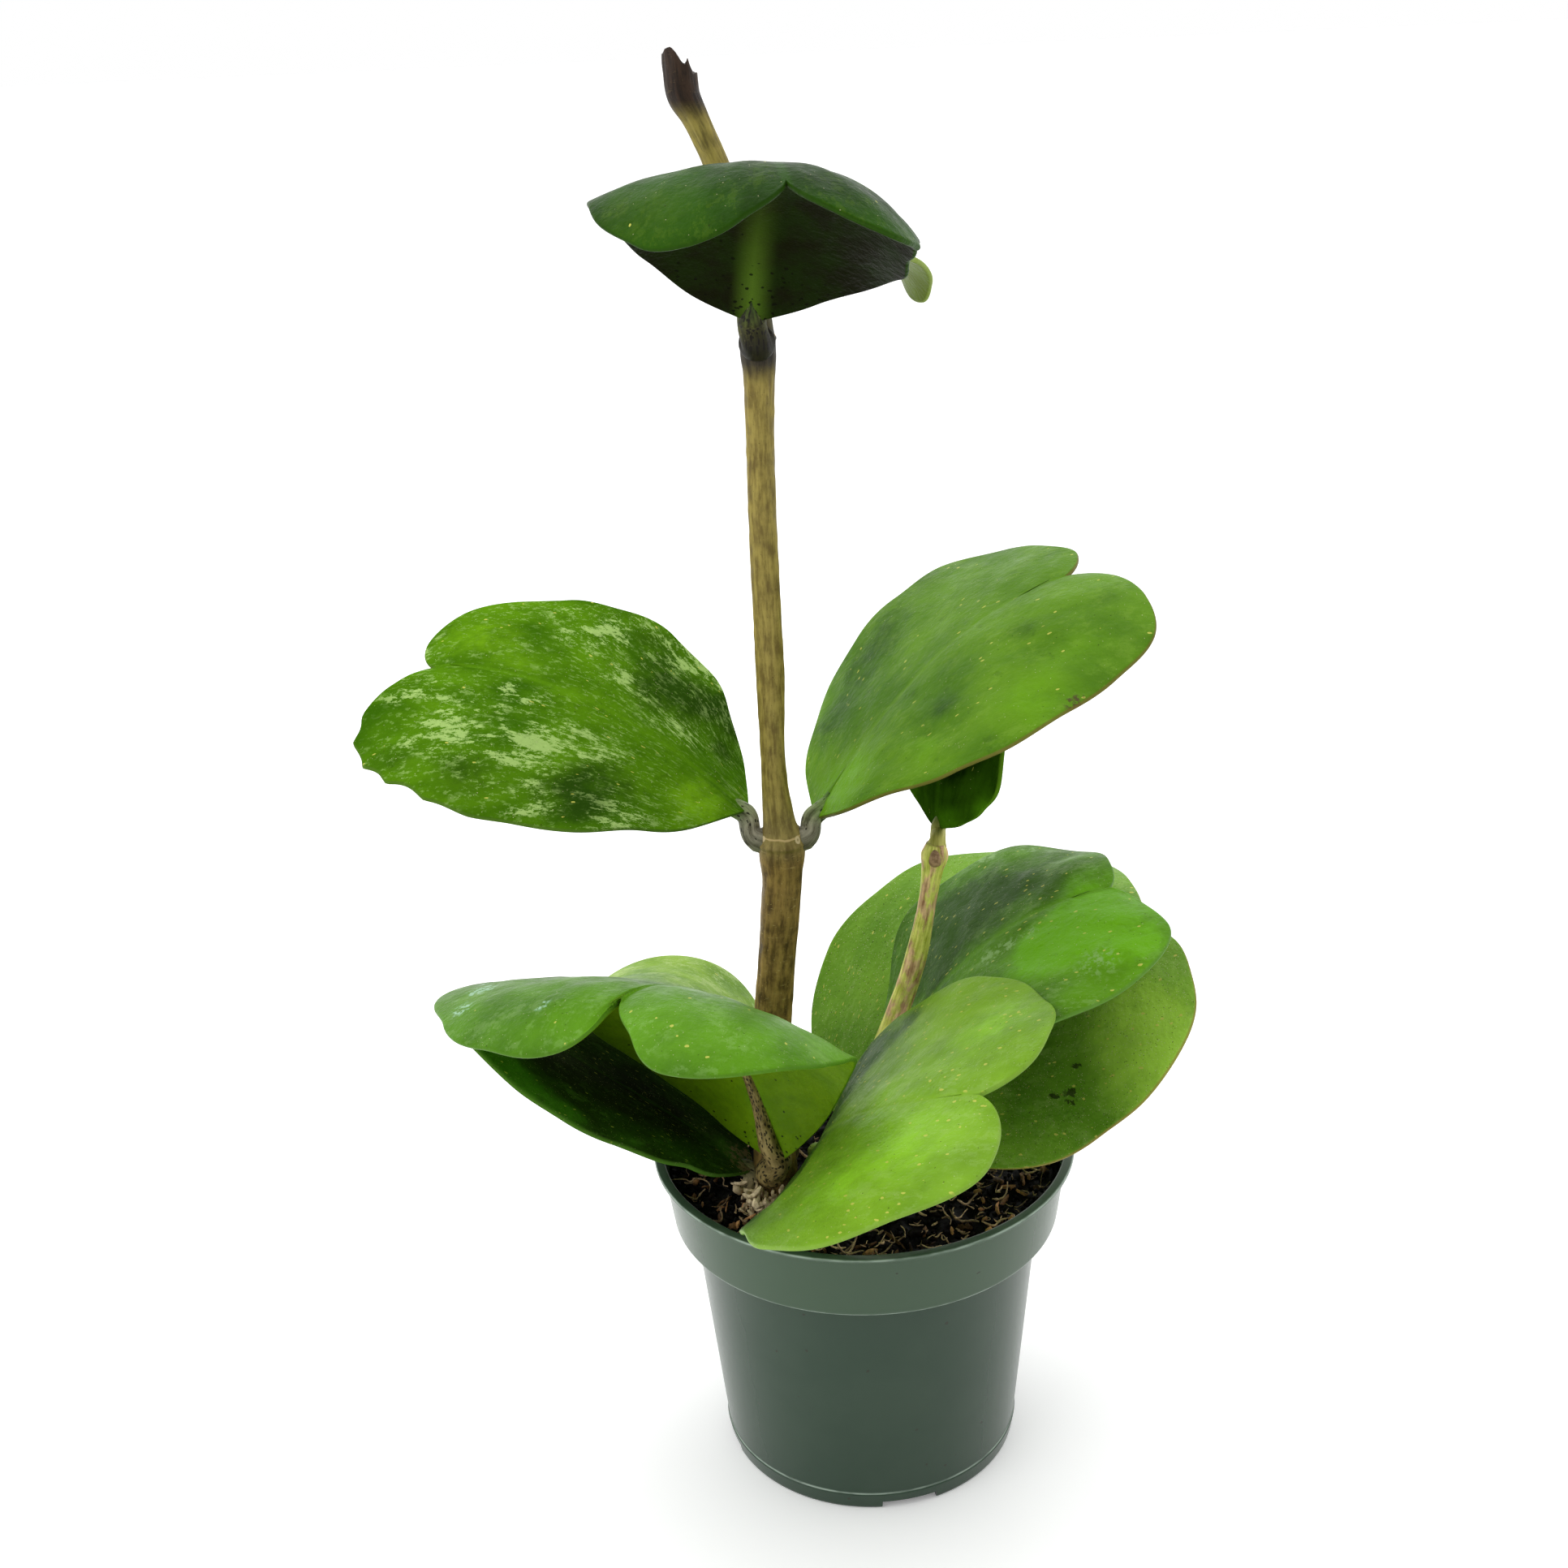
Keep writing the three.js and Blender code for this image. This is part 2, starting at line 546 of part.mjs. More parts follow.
// Frames along the bent midrib: its centre, the way to the right, and the way up out of the blade.
function midribFrames(leaf) {
  const azimuth = radians(leaf.azimuth);
  const rise = radians(leaf.rise);
  const roll = radians(leaf.roll);
  const heading = vector(Math.cos(azimuth), Math.sin(azimuth), 0);
  const ahead = heading.clone().multiplyScalar(Math.cos(rise)).add(vector(0, 0, Math.sin(rise)));
  const flatUp = heading.clone().multiplyScalar(-Math.sin(rise)).add(vector(0, 0, Math.cos(rise)));
  const flatRight = ahead.clone().cross(flatUp);
  const up = turn(flatUp, flatRight, -roll);
  const right = turn(flatRight, flatUp, roll);
  const step = (MIDRIB_REACH * leaf.length) / MIDRIB_STEPS;
  const frames = [];
  let centre = vector(...leaf.base);
  let before = null;
  for (let i = 0; i <= MIDRIB_STEPS; i += 1) {
    const along = (i * step) / leaf.length;
    const curl = radians(leaf.curl) * along ** leaf.curlPower;
    const sway = radians(leaf.sway) * along;
    const twist = radians(leaf.twist) * along;
    const curledAhead = turn(ahead, up, -curl);
    const curledUp = turn(up, ahead, curl);
    const tangent = turn(curledAhead, right, sway);
    const swayedRight = turn(right, curledAhead, -sway);
    if (before) {
      centre = centre.clone().addScaledVector(tangent.clone().add(before), step / 2);
    }
    before = tangent;
    frames.push({
      centre,
      right: turn(swayedRight, curledUp, twist),
      up: turn(curledUp, swayedRight, -twist),
    });
  }
  return frames;
}

// Turns one unit vector towards another at right angles to it.
function turn(from, towards, angle) {
  return from.clone().multiplyScalar(Math.cos(angle)).addScaledVector(towards, Math.sin(angle));
}

// Gives the function that carries a point (x, y) of the flat leaf to its place on the bent one.
function leafBend(leaf) {
  const frames = midribFrames(leaf);
  const half = leaf.width / 2;
  return (x, y) => {
    const place = (Math.max(y, 0) / (MIDRIB_REACH * leaf.length)) * MIDRIB_STEPS;
    const i = Math.min(Math.floor(place), MIDRIB_STEPS - 1);
    const centre = frames[i].centre.clone().lerp(frames[i + 1].centre, place - i);
    const right = frames[i].right.clone().lerp(frames[i + 1].right, place - i);
    const up = frames[i].up.clone().lerp(frames[i + 1].up, place - i);
    const tipward = THREE.MathUtils.clamp(y / leaf.length, 0, 1);
    const [leftBase, leftTip, rightBase, rightTip] = leaf.cup;
    const cup = x < 0
      ? THREE.MathUtils.lerp(leftBase, leftTip, tipward)
      : THREE.MathUtils.lerp(rightBase, rightTip, tipward);
    const arc = Math.abs(cup) < 0.1 ? radians(0.1) : radians(cup);
    const across = (Math.sign(x) * half * Math.sin((arc * Math.abs(x)) / half)) / arc;
    const lift = (half * (1 - Math.cos((arc * x) / half))) / arc;
    return centre.addScaledVector(right, across).addScaledVector(up, lift);
  };
}

function bladeNormal(bend, x, y) {
  const delta = 0.5;
  const across = bend(x + delta, y).sub(bend(x - delta, y));
  const along = bend(x, y + delta).sub(bend(x, Math.max(y - delta, 0)));
  return across.cross(along).normalize();
}

// The blade: rings of points from its middle out to the margin, alike on both faces, thinner at the margin.
function makeBlade(leaf, bend) {
  const outline = leafOutline(leaf);
  const middle = new THREE.Vector2(0, leaf.length / 2);
  const upper = [];
  const lower = [];
  const addPoint = (flat, fraction) => {
    const angle = Math.atan2(flat.y - middle.y, flat.x);
    const normal = bladeNormal(bend, flat.x, flat.y);
    const wave = leaf.wave.height * fraction ** 3 * Math.sin(leaf.wave.count * angle + leaf.wave.phase);
    const thinned = THREE.MathUtils.lerp(BLADE_THICKNESS, BLADE_EDGE_THICKNESS, fraction ** 4);
    const centre = bend(flat.x, flat.y).addScaledVector(normal, wave);
    upper.push(centre.clone().addScaledVector(normal, thinned / 2));
    lower.push(centre.addScaledVector(normal, -thinned / 2));
  };
  addPoint(middle, 0);
  BLADE_RINGS.forEach((fraction) => {
    outline.forEach((rim) => addPoint(middle.clone().lerp(rim, fraction), fraction));
  });
  const count = outline.length;
  const under = upper.length;
  const triangles = [];
  const addBoth = (a, b, c) => triangles.push(a, b, c, under + a, under + c, under + b);
  for (let k = 0; k < count; k += 1) {
    const next = (k + 1) % count;
    addBoth(0, 1 + k, 1 + next);
    for (let ring = 1; ring < BLADE_RINGS.length; ring += 1) {
      const inner = 1 + (ring - 1) * count;
      const outer = inner + count;
      addBoth(inner + k, outer + k, outer + next);
      addBoth(inner + k, outer + next, inner + next);
    }
    const rim = 1 + (BLADE_RINGS.length - 1) * count;
    triangles.push(rim + k, under + rim + k, under + rim + next);
    triangles.push(rim + k, under + rim + next, rim + next);
  }
  return toSolid(indexedGeometry([...upper, ...lower], triangles));
}

// A point just clear of a stem's surface, at the height and azimuth where a stalk leaves it.
function stalkFoot({ stem, z, azimuth }) {
  const above = stem.findIndex((station) => station[2] > z);
  const [high, low] = [stem[above], stem[above - 1]];
  const share = (z - low[2]) / (high[2] - low[2]);
  const [x, y, , radius] = low.map((value, i) => THREE.MathUtils.lerp(value, high[i], share));
  const outward = vector(Math.cos(radians(azimuth)), Math.sin(radians(azimuth)), 0);
  return { outward, foot: vector(x, y, z).addScaledVector(outward, radius + STALK_CLEARANCE) };
}

// The stalk leaves the stem square to it, turns into the blade at its base, and goes on as a rib under it.
function makeStalk(leaf, bend) {
  const { foot, outward } = stalkFoot(leaf.stalk);
  const base = vector(...leaf.base);
  const reach = base.distanceTo(foot) * 0.45;
  const ahead = bend(0, 2).sub(base).normalize();
  const bow = new THREE.CubicBezierCurve3(
    foot,
    foot.clone().addScaledVector(outward, reach),
    base.clone().addScaledVector(ahead, -reach),
    base,
  );
  const stations = bow.getPoints(3).slice(0, 3).map(({ x, y, z }) => [x, y, z, leaf.stalk.radius]);
  STALK_RIB.forEach(([along, share]) => {
    const y = along * leaf.length;
    const radius = share * leaf.stalk.radius;
    const centre = bend(0, y).addScaledVector(bladeNormal(bend, 0, y), 0.4 - radius);
    stations.push([centre.x, centre.y, centre.z, radius]);
  });
  return toSolid(rod(stations, STALK_SIDES, 2));
}

// Joins the blade and the stalk, clears them of the stems, and keeps the one large body of what is left.
function makeLeaf(leaf) {
  const bend = leafBend(leaf);
  let solid = makeBlade(leaf, bend).add(makeStalk(leaf, bend));
  STEM_ROOMS.forEach((room) => {
    solid = solid.subtract(room);
  });
  const bodies = solid.decompose();
  return toGeometry(bodies.reduce((largest, body) => (body.volume() > largest.volume() ? body : largest)));
}

// Materials and assembly

function piece(name, geometry, color, roughness) {
  const material = new THREE.MeshStandardMaterial({ color, roughness, metalness: 0 });
  const mesh = new THREE.Mesh(geometry, material);
  mesh.name = name;
  return mesh;
}

const plant = new THREE.Group();
plant.add(piece('pot', makePot(), 0x3b4a3a, 0.5));
plant.add(piece('soil', makeSoil(), 0x14100d, 0.95));
plant.add(piece('main_stem', makeMainStem(), 0x6b6439, 0.7));
plant.add(piece('side_stem', makeSideStem(), 0x7a6f45, 0.65));
LEAVES.forEach((leaf) => {
  plant.add(piece(leaf.name, makeLeaf(leaf), leaf.color, 0.4));
});

export default plant;
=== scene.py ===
import math

import bpy
import numpy as np
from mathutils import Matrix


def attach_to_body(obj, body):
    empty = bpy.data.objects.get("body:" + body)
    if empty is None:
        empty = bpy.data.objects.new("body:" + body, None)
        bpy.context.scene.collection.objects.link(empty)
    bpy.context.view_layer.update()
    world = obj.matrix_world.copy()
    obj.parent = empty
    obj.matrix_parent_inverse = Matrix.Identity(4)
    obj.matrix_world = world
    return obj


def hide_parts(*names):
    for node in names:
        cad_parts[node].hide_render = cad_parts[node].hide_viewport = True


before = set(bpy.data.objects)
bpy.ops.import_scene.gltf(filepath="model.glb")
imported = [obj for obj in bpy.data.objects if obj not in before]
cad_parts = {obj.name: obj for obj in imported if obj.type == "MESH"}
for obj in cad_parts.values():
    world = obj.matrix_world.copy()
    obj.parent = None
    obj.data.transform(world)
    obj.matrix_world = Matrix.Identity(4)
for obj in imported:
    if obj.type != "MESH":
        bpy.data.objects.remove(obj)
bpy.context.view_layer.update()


# The nursery pot
#
# A thin shell of dark green plastic, moulded in one piece: a tapered body, a ledge out to a deep
# plain band, and a narrow flat lip. Four drain slots are cut through the corner of wall and floor.

MM = 0.001

POT_OUTLINE = [  # radius, height and rounding of each corner, up the outside and down the inside
    (0.0, 0.0, 0.0),
    (37.1, 0.0, 0.8),
    (37.9, 4.55, 0.12),
    (37.65, 4.8, 0.12),
    (43.6, 65.9, 0.4),
    (48.3, 65.9, 0.5),
    (50.6, 82.9, 0.3),
    (52.4, 83.0, 0.3),
    (52.4, 84.0, 0.4),
    (50.0, 84.0, 0.4),
    (49.6, 82.6, 0.4),
    (47.3, 66.9, 0.8),
    (42.6, 66.9, 0.8),
    (36.6, 1.2, 0.8),
    (0.0, 1.2, 0.0),
]
POT_SECTORS = 240
CORNER_STEPS = 5
SLOT_SIZE = (14.0, 14.0, 2.2)  # length, width, and height to both sides of the foot's plane
SLOT_RADIUS = 34.6
SLOT_AZIMUTHS = (-78, 12, 102, 192)
HIGHLIGHT_REACH = 0.45
# Corners with a thin pale painted highlight line along them: radius, height and reach
POT_HIGHLIT_EDGES = [(48.2, 66.0, HIGHLIGHT_REACH), (52.4, 83.9, HIGHLIGHT_REACH), (37.7, 4.85, 0.2)]
SHARP_ANGLE = 32.0
LEDGE_HEIGHTS = (0.0655, 0.0665)  # metres, from the body's green to the band's
SLOT_SHADE_DEPTHS = (0.0362, 0.0367)  # metres from the axis, from the painted shade in the slots to the wall's green
SLOT_SHADE_TOPS = (0.002, 0.0022)


def paint(code):
    """The shader colour of a hex code as it looks on a screen."""
    channels = np.array([int(code[i:i + 2], 16) for i in (1, 3, 5)]) / 255
    linear = np.where(channels <= 0.04045, channels / 12.92, ((channels + 0.055) / 1.055) ** 2.4)
    return (*linear.tolist(), 1.0)


def round_corners(outline):
    """Rounds each corner with a quadratic curve from one point to another at its rounding's distance:
    (1 - t) squared times the first, 2 t (1 - t) times the corner, and t squared times the second."""
    corners = np.array(outline, float)
    spots, rounding = corners[:, :2], corners[:, 2]
    rounded = [spots[:1]]
    t = np.linspace(0, 1, CORNER_STEPS)[:, None]
    for before, corner, after, reach in zip(spots, spots[1:], spots[2:], rounding[1:]):
        start = corner + (before - corner) * reach / np.linalg.norm(before - corner)
        end = corner + (after - corner) * reach / np.linalg.norm(after - corner)
        rounded.append((1 - t) ** 2 * start + 2 * t * (1 - t) * corner + t ** 2 * end)
    return np.concatenate([*rounded, spots[-1:]])


def grid_faces(rows, columns, round_way=False):
    """Quads of a grid of points stored row by row. With round_way the last column joins the first."""
    row = np.arange(rows - 1)[:, None] * columns
    column = np.arange(columns if round_way else columns - 1)[None, :]
    beside = (column + 1) % columns
    quads = np.stack([row + column, row + beside, row + columns + beside, row + columns + column], -1)
    return quads.reshape(-1, 4)


def circle(count):
    """The angles of evenly spaced points round a circle."""
    return np.arange(count) * 2 * np.pi / count


def turned_profile(profile, sectors):
    """Rings of points (r cos a, r sin a, z), one ring for each radius r and height z of the profile."""
    radius, angle = profile[:, :1], circle(sectors)
    height = np.repeat(profile[:, 1:], sectors, 1)
    return np.stack([radius * np.cos(angle), radius * np.sin(angle), height], -1)


def ring_faces(rows, sides, outward=1):
    """Quads between rings of points, and triangles that close the first and the last ring to the two
    points stored after them. outward is 1 or -1 for the way the faces look."""
    ring, last = np.arange(sides), rows * sides
    fans = [np.stack([ring + start, np.roll(ring, way) + start, np.full(sides, centre)], -1)
            for start, way, centre in ((0, outward, last), (last - sides, -outward, last + 1))]
    return [grid_faces(rows, sides, round_way=True)[:, ::outward], np.concatenate(fans)]


def closed_rings(rings, first_centre, last_centre, outward=1):
    """Points and faces of rings of points with a centre for each end."""
    points = np.concatenate([rings.reshape(-1, 3), [first_centre, last_centre]])
    return points, ring_faces(*rings.shape[:2], outward)


def new_mesh(name, points, faces):
    """A mesh of points in millimetres and arrays of face corners."""
    mesh = bpy.data.meshes.new(name)
    corners = [face for block in faces for face in block.tolist()]
    mesh.from_pydata((np.asarray(points) * MM).tolist(), [], corners)
    return mesh


def new_object(name, data):
    """An object at the origin with this mesh, light or camera, in the scene."""
    made = bpy.data.objects.new(name, data)
    bpy.context.scene.collection.objects.link(made)
    return made


def add_value(mesh, label, amounts):
    """Gives the mesh an attribute with one number a point."""
    attribute = mesh.attributes.new(label, "FLOAT", "POINT")
    attribute.data.foreach_set("value", amounts.astype(np.float32))


def new_piece(name, points, faces, slot, replaced=(), materials=(), readings=None):
    """Makes a smooth mesh object at the origin from points in millimetres and arrays of face corners.
    readings has arrays with one entry a point: pairs become a UV map, and single numbers an
    attribute."""
    mesh = new_mesh(name, points, faces)
    corner_points = np.zeros(len(mesh.loops), np.int32)
    mesh.loops.foreach_get("vertex_index", corner_points)
    for label, entries in (readings or {}).items():
        if entries.ndim == 2:
            layer = mesh.uv_layers.new(name=label)
            layer.data.foreach_set("uv", entries[corner_points].ravel().astype(np.float32))
        else:
            add_value(mesh, label, entries)
    mesh.shade_smooth()
    piece = new_object(name, mesh)
    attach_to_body(piece, "root")
    if replaced:
        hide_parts(*replaced)
    for material in materials:
        mesh.materials.append(material)
    return piece


def node(tree, kind, inputs=None, **settings):
    """Adds a node; inputs gives each socket a value, a hex code or another node's socket to take it
    from."""
    made = tree.nodes.new(kind)
    for name, value in settings.items():
        setattr(made, name, value)
    for name, value in (inputs or {}).items():
        if isinstance(value, bpy.types.NodeSocket):
            tree.links.new(value, made.inputs[name])
        else:
            made.inputs[name].default_value = paint(value) if isinstance(value, str) else value
    return made


def maths(tree, operation, *values):
    """The result of one Math node."""
    return node(tree, "ShaderNodeMath", dict(enumerate(values)), operation=operation).outputs[0]


def times(tree, first, second):
    """The product of two values."""
    return maths(tree, "MULTIPLY", first, second)


def vector_maths(tree, operation, *values):
    """The result of one Vector Math node: a number for a length or a distance, and a vector for the
    others."""
    made = node(tree, "ShaderNodeVectorMath", dict(enumerate(values)), operation=operation)
    return made.outputs["Value" if operation in ("LENGTH", "DISTANCE") else "Vector"]


def parted(tree, vector):
    """The X, Y and Z of a vector."""
    return node(tree, "ShaderNodeSeparateXYZ", {0: vector}).outputs


def rise(tree, value, low, high, start=0.0, end=1.0):
    """Turns a value smoothly from start at low to end at high, and holds it there outside."""
    limits = {"Value": value, "From Min": low, "From Max": high, "To Min": start, "To Max": end}
    return node(tree, "ShaderNodeMapRange", limits, interpolation_type="SMOOTHSTEP").outputs["Result"]


def object_place(tree):
    """Where a point is in its object, in metres."""
    return node(tree, "ShaderNodeTexCoord").outputs["Object"]


def reading(tree, label):
    """The value of one of the mesh's attributes."""
    return node(tree, "ShaderNodeAttribute", attribute_name=label).outputs["Fac"]


def own_map(tree, label):
    """A place on one of the piece's own maps."""
    return node(tree, "ShaderNodeUVMap", uv_map=label).outputs["UV"]


def mix(tree, factor, first, second):
    """The colour between first and second at the factor."""
    return node(tree, "ShaderNodeMix", {0: factor, 6: first, 7: second}, data_type="RGBA").outputs[2]


def layered(tree, colour, *layers):
    """A colour with layers over it, each a factor and a colour, the lowest first."""
    for factor, over in layers:
        colour = mix(tree, factor, colour, over)
    return colour


def noise(tree, vector, scale, detail=3.0, roughness=0.5):
    """The value, about 0.5 in the middle, of one Noise Texture."""
    return node(tree, "ShaderNodeTexNoise", {"Vector": vector, "Scale": scale, "Detail": detail,
                                             "Roughness": roughness}).outputs[0]


def scaled(tree, vector, *scale):
    """The vector times a scale on each axis."""
    return node(tree, "ShaderNodeMapping", {"Vector": vector, "Scale": scale}).outputs["Vector"]


def new_material(name, **sockets):
    """A material with one Principled shader; sockets sets what is the same all over it."""
    material = bpy.data.materials.new(name)
    material.use_nodes = True
    shader = material.node_tree.nodes["Principled BSDF"]
    for label, value in sockets.items():
        shader.inputs[label.replace("_", " ")].default_value = value
    return material, material.node_tree, shader


def attach(tree, shader, colour, roughness=None, height=None, strength=0.5, distance=0.0005):
    """Feeds the shader's colour and roughness, and its normal from a height through a Bump node."""
    tree.links.new(colour, shader.inputs["Base Color"])
    if roughness is not None:
        tree.links.new(roughness, shader.inputs["Roughness"])
    if height is not None:
        bump = node(tree, "ShaderNodeBump", {"Height": height, "Strength": strength, "Distance": distance})
        tree.links.new(bump.outputs["Normal"], shader.inputs["Normal"])


def new_group(name, inputs, outputs):
    """An empty node group. inputs and outputs give the labels of each kind of socket: Vector, Color or
    Float."""
    tree = bpy.data.node_groups.new(name, "ShaderNodeTree")
    for way, kinds in (("INPUT", inputs), ("OUTPUT", outputs)):
        for kind, labels in kinds.items():
            for label in labels:
                tree.interface.new_socket(label, in_out=way, socket_type="NodeSocket" + kind)
    return tree, tree.nodes.new("NodeGroupInput").outputs, tree.nodes.new("NodeGroupOutput").inputs


def grains_group():
    """Small grains scattered over a surface: cells of a Voronoi pattern whose own random number passes
    the amount show a grain round their middle. Puts out the mask of the grains."""
    tree, given, out = new_group("scattered_grains", {
        "Vector": ["Vector"],
        "Float": ["Cells", "Size", "Amount", "Raggedness"],
    }, {"Float": ["Mask"]})
    vector, scale = given["Vector"], given["Cells"]
    wander = node(tree, "ShaderNodeTexNoise", {"Vector": vector, "Scale": scale, "Detail": 2.0})
    centred = vector_maths(tree, "SUBTRACT", wander.outputs["Color"], (0.5, 0.5, 0.5))
    shift = {0: centred, "Scale": given["Raggedness"]}
    ragged = node(tree, "ShaderNodeVectorMath", shift, operation="SCALE").outputs[0]
    moved = vector_maths(tree, "ADD", vector, ragged)
    cells = node(tree, "ShaderNodeTexVoronoi", {"Vector": moved, "Scale": scale})
    near = maths(tree, "LESS_THAN", cells.outputs["Distance"], given["Size"])
    lot = node(tree, "ShaderNodeSeparateColor", {0: cells.outputs["Color"]}).outputs[0]
    chosen = maths(tree, "LESS_THAN", lot, given["Amount"])
    tree.links.new(times(tree, near, chosen), out["Mask"])
    return tree


SCATTERED_GRAINS = grains_group()


def grains(tree, vector, cells, size, amount, raggedness):
    """The mask of grains: cells to the unit, their size as a share of a cell, the share of cells with
    one, and how far their outlines wander."""
    values = {"Vector": vector, "Cells": cells, "Size": size, "Amount": amount, "Raggedness": raggedness}
    return node(tree, "ShaderNodeGroup", values, node_tree=SCATTERED_GRAINS).outputs["Mask"]


def pot_material():
    """Satin green plastic: faint mottling in the colour, a slightly paler band, fine moulded texture,
    thin pale painted highlight lines along the corners, a few specks of potting mix, and painted shade,
    near black, inside the drain slots."""
    material, tree, shader = new_material("pot_plastic", Specular_IOR_Level=0.32)
    place = object_place(tree)
    spot = parted(tree, place)
    flat_spot = node(tree, "ShaderNodeCombineXYZ", {0: spot["X"], 1: spot["Y"]}).outputs[0]
    inside = rise(tree, vector_maths(tree, "LENGTH", flat_spot), *SLOT_SHADE_DEPTHS, 1.0, 0.0)
    uneven = noise(tree, scaled(tree, place, 1.0, 1.0, 6.0), 160.0)
    plastic = mix(tree, rise(tree, noise(tree, place, 45.0), 0.35, 0.65), "#273d2d", "#2b4030")
    plastic = layered(
        tree, plastic,
        (rise(tree, spot["Z"], *LEDGE_HEIGHTS), "#394f3a"),
        # painted shade: near black on the pot's surfaces inside the drain slots
        (times(tree, inside, rise(tree, spot["Z"], *SLOT_SHADE_TOPS, 1.0, 0.0)), "#050705"),
        # painted highlight: thin pale lines along the lip, the ledge and the foot step, broken up by noise
        (times(tree, reading(tree, "painted_highlight"), rise(tree, uneven, 0.35, 0.6, 0.35, 0.95)), "#b3c6b6"),
        (times(tree, grains(tree, place, 420.0, 0.16, 0.035, 0.002), 0.7), "#2a2a20"),
    )
    satin = rise(tree, noise(tree, place, 900.0, 2.0), 0.3, 0.7, 0.24, 0.27)
    attach(tree, shader, plastic, satin, noise(tree, place, 700.0, 2.0), 0.012, 0.0002)
    return material


def with_side_points(outline):
    """Adds a point just past both ends of each long straight span, so that the painted edge highlights
    fade within it."""
    span = np.diff(outline, axis=0)
    length = np.linalg.norm(span, axis=1)
    points = [outline[:1]]
    for start, way, reach in zip(outline, span, length):
        if reach > 4 * HIGHLIGHT_REACH:
            points.append(start + way * np.array([[HIGHLIGHT_REACH / reach], [1 - HIGHLIGHT_REACH / reach]]))
        points.append((start + way)[None])
    return np.concatenate(points)


def slot_boxes():
    """A mesh of one box for each drain slot, turned round the Z axis to its azimuth."""
    box = np.array([(x, y, z) for x in (-0.5, 0.5) for y in (-0.5, 0.5) for z in (-1, 1)]) * SLOT_SIZE
    box = box + (SLOT_RADIUS, 0, 0)
    turns = np.radians(SLOT_AZIMUTHS)[:, None]
    points = np.stack([
        box[:, 0] * np.cos(turns) - box[:, 1] * np.sin(turns),
        box[:, 0] * np.sin(turns) + box[:, 1] * np.cos(turns),
        np.repeat(box[None, :, 2], len(turns), 0),
    ], -1).reshape(-1, 3)
    faces = np.array([(0, 1, 3, 2), (4, 6, 7, 5), (0, 4, 5, 1), (2, 3, 7, 6), (0, 2, 6, 4), (1, 5, 7, 3)])
    return new_mesh("slot_cutter", points, [faces + len(box) * k for k in range(len(turns))])


def make_pot():
    """Turns the rounded outline round the Z axis, cuts the slots, and marks each point's painted edge
    highlight: 1 at a highlit corner, down to 0 at its reach."""
    outline = with_side_points(round_corners(POT_OUTLINE))
    foot, inner_foot = ((0, 0, outline[end, 1]) for end in (0, -1))
    rings = turned_profile(outline[1:-1], POT_SECTORS)
    pot = new_piece("nursery_pot", *closed_rings(rings, foot, inner_foot), "pot_plastic", ["pot"])
    cutter = new_object("slot_cutter", slot_boxes())
    cut = pot.modifiers.new("slots", "BOOLEAN")
    cut.object = cutter
    cut.solver = "EXACT"
    graph = bpy.context.evaluated_depsgraph_get()
    finished = bpy.data.meshes.new_from_object(pot.evaluated_get(graph))
    pot.modifiers.clear()
    pot.data = finished
    bpy.data.objects.remove(cutter)
    place = np.zeros(len(finished.vertices) * 3, np.float32)
    finished.vertices.foreach_get("co", place)
    x, y, z = (place.reshape(-1, 3) / MM).T
    # painted highlight: 1 at each highlit corner, fading to 0 at its reach
    painted_highlight = np.zeros(len(x))
    for edge_radius, edge_height, reach in POT_HIGHLIT_EDGES:
        away = np.hypot(np.hypot(x, y) - edge_radius, z - edge_height)
        painted_highlight = np.maximum(painted_highlight, np.clip(1 - away / reach, 0, 1))
    add_value(finished, "painted_highlight", painted_highlight)
    finished.shade_smooth()
    finished.set_sharp_from_angle(angle=math.radians(SHARP_ANGLE))
    finished.materials.clear()
    finished.materials.append(pot_material())


make_pot()


# The potting mix
#
# Near black, damp bark and peat that fills the pot to 6 mm under its lip. Its crumbly top is a mass
# of small lumps, with bark shards half sunk in it and curled tan fibres lying over it.

SOIL_LEVEL = 77.6
SOIL_SIDE = [  # radius and height of its sides, from the top's rim down to the pot's floor
    (48.3, 75.2),
    (47.0, 67.3),
    (42.3, 67.3),
    (36.2, 1.5),
]
SOIL_RINGS = 110
SOIL_SECTORS = 300
DARK_TONE_POWER = 2.6
STEM_FEET = [(-22.0, -17.5, 7.0), (-7.2, -6.0, 4.5)]  # x, y and clear radius of each stem


HASH_PRIMES = (73856093, 19349663, 83492791)
HASH_SIZE = 4096


def lumps(points, size, seed):
    """Smooth random values from -1 to 1: a random number at each corner of a lattice of that size,
    blended between the eight corners of a cell by 3 s squared - 2 s cubed, where s is the share of the
    way across it."""
    place = np.asarray(points, float) / size
    cell = np.floor(place).astype(np.int64)
    share = place - cell
    share = share * share * (3 - 2 * share)
    table = np.random.default_rng(seed).uniform(-1, 1, HASH_SIZE)
    total = np.zeros(place.shape[:-1])
    for corner in np.ndindex(2, 2, 2):
        spot = (cell + corner) * HASH_PRIMES
        value = table[(spot[..., 0] ^ spot[..., 1] ^ spot[..., 2]) % HASH_SIZE]
        total += value * np.prod(np.where(corner, share, 1 - share), -1)
    return total


def soil_height(x, y):
    """The lie of the mix at x and y: three waves, as in the solid, under two sizes of lumps."""
    broad = 0.7 * np.sin(x / 11 + 1) * np.cos(y / 13 - 0.5)
    fine = 0.35 * np.sin(x / 3.1 + y / 4.3) + 0.25 * np.cos(x / 2.3 - y / 2.9)
    flat = np.stack([x, y, np.zeros_like(x)], -1)
    return SOIL_LEVEL + broad + fine + 0.9 * lumps(flat, 3.4, 5) + 0.6 * lumps(flat, 1.5, 6)


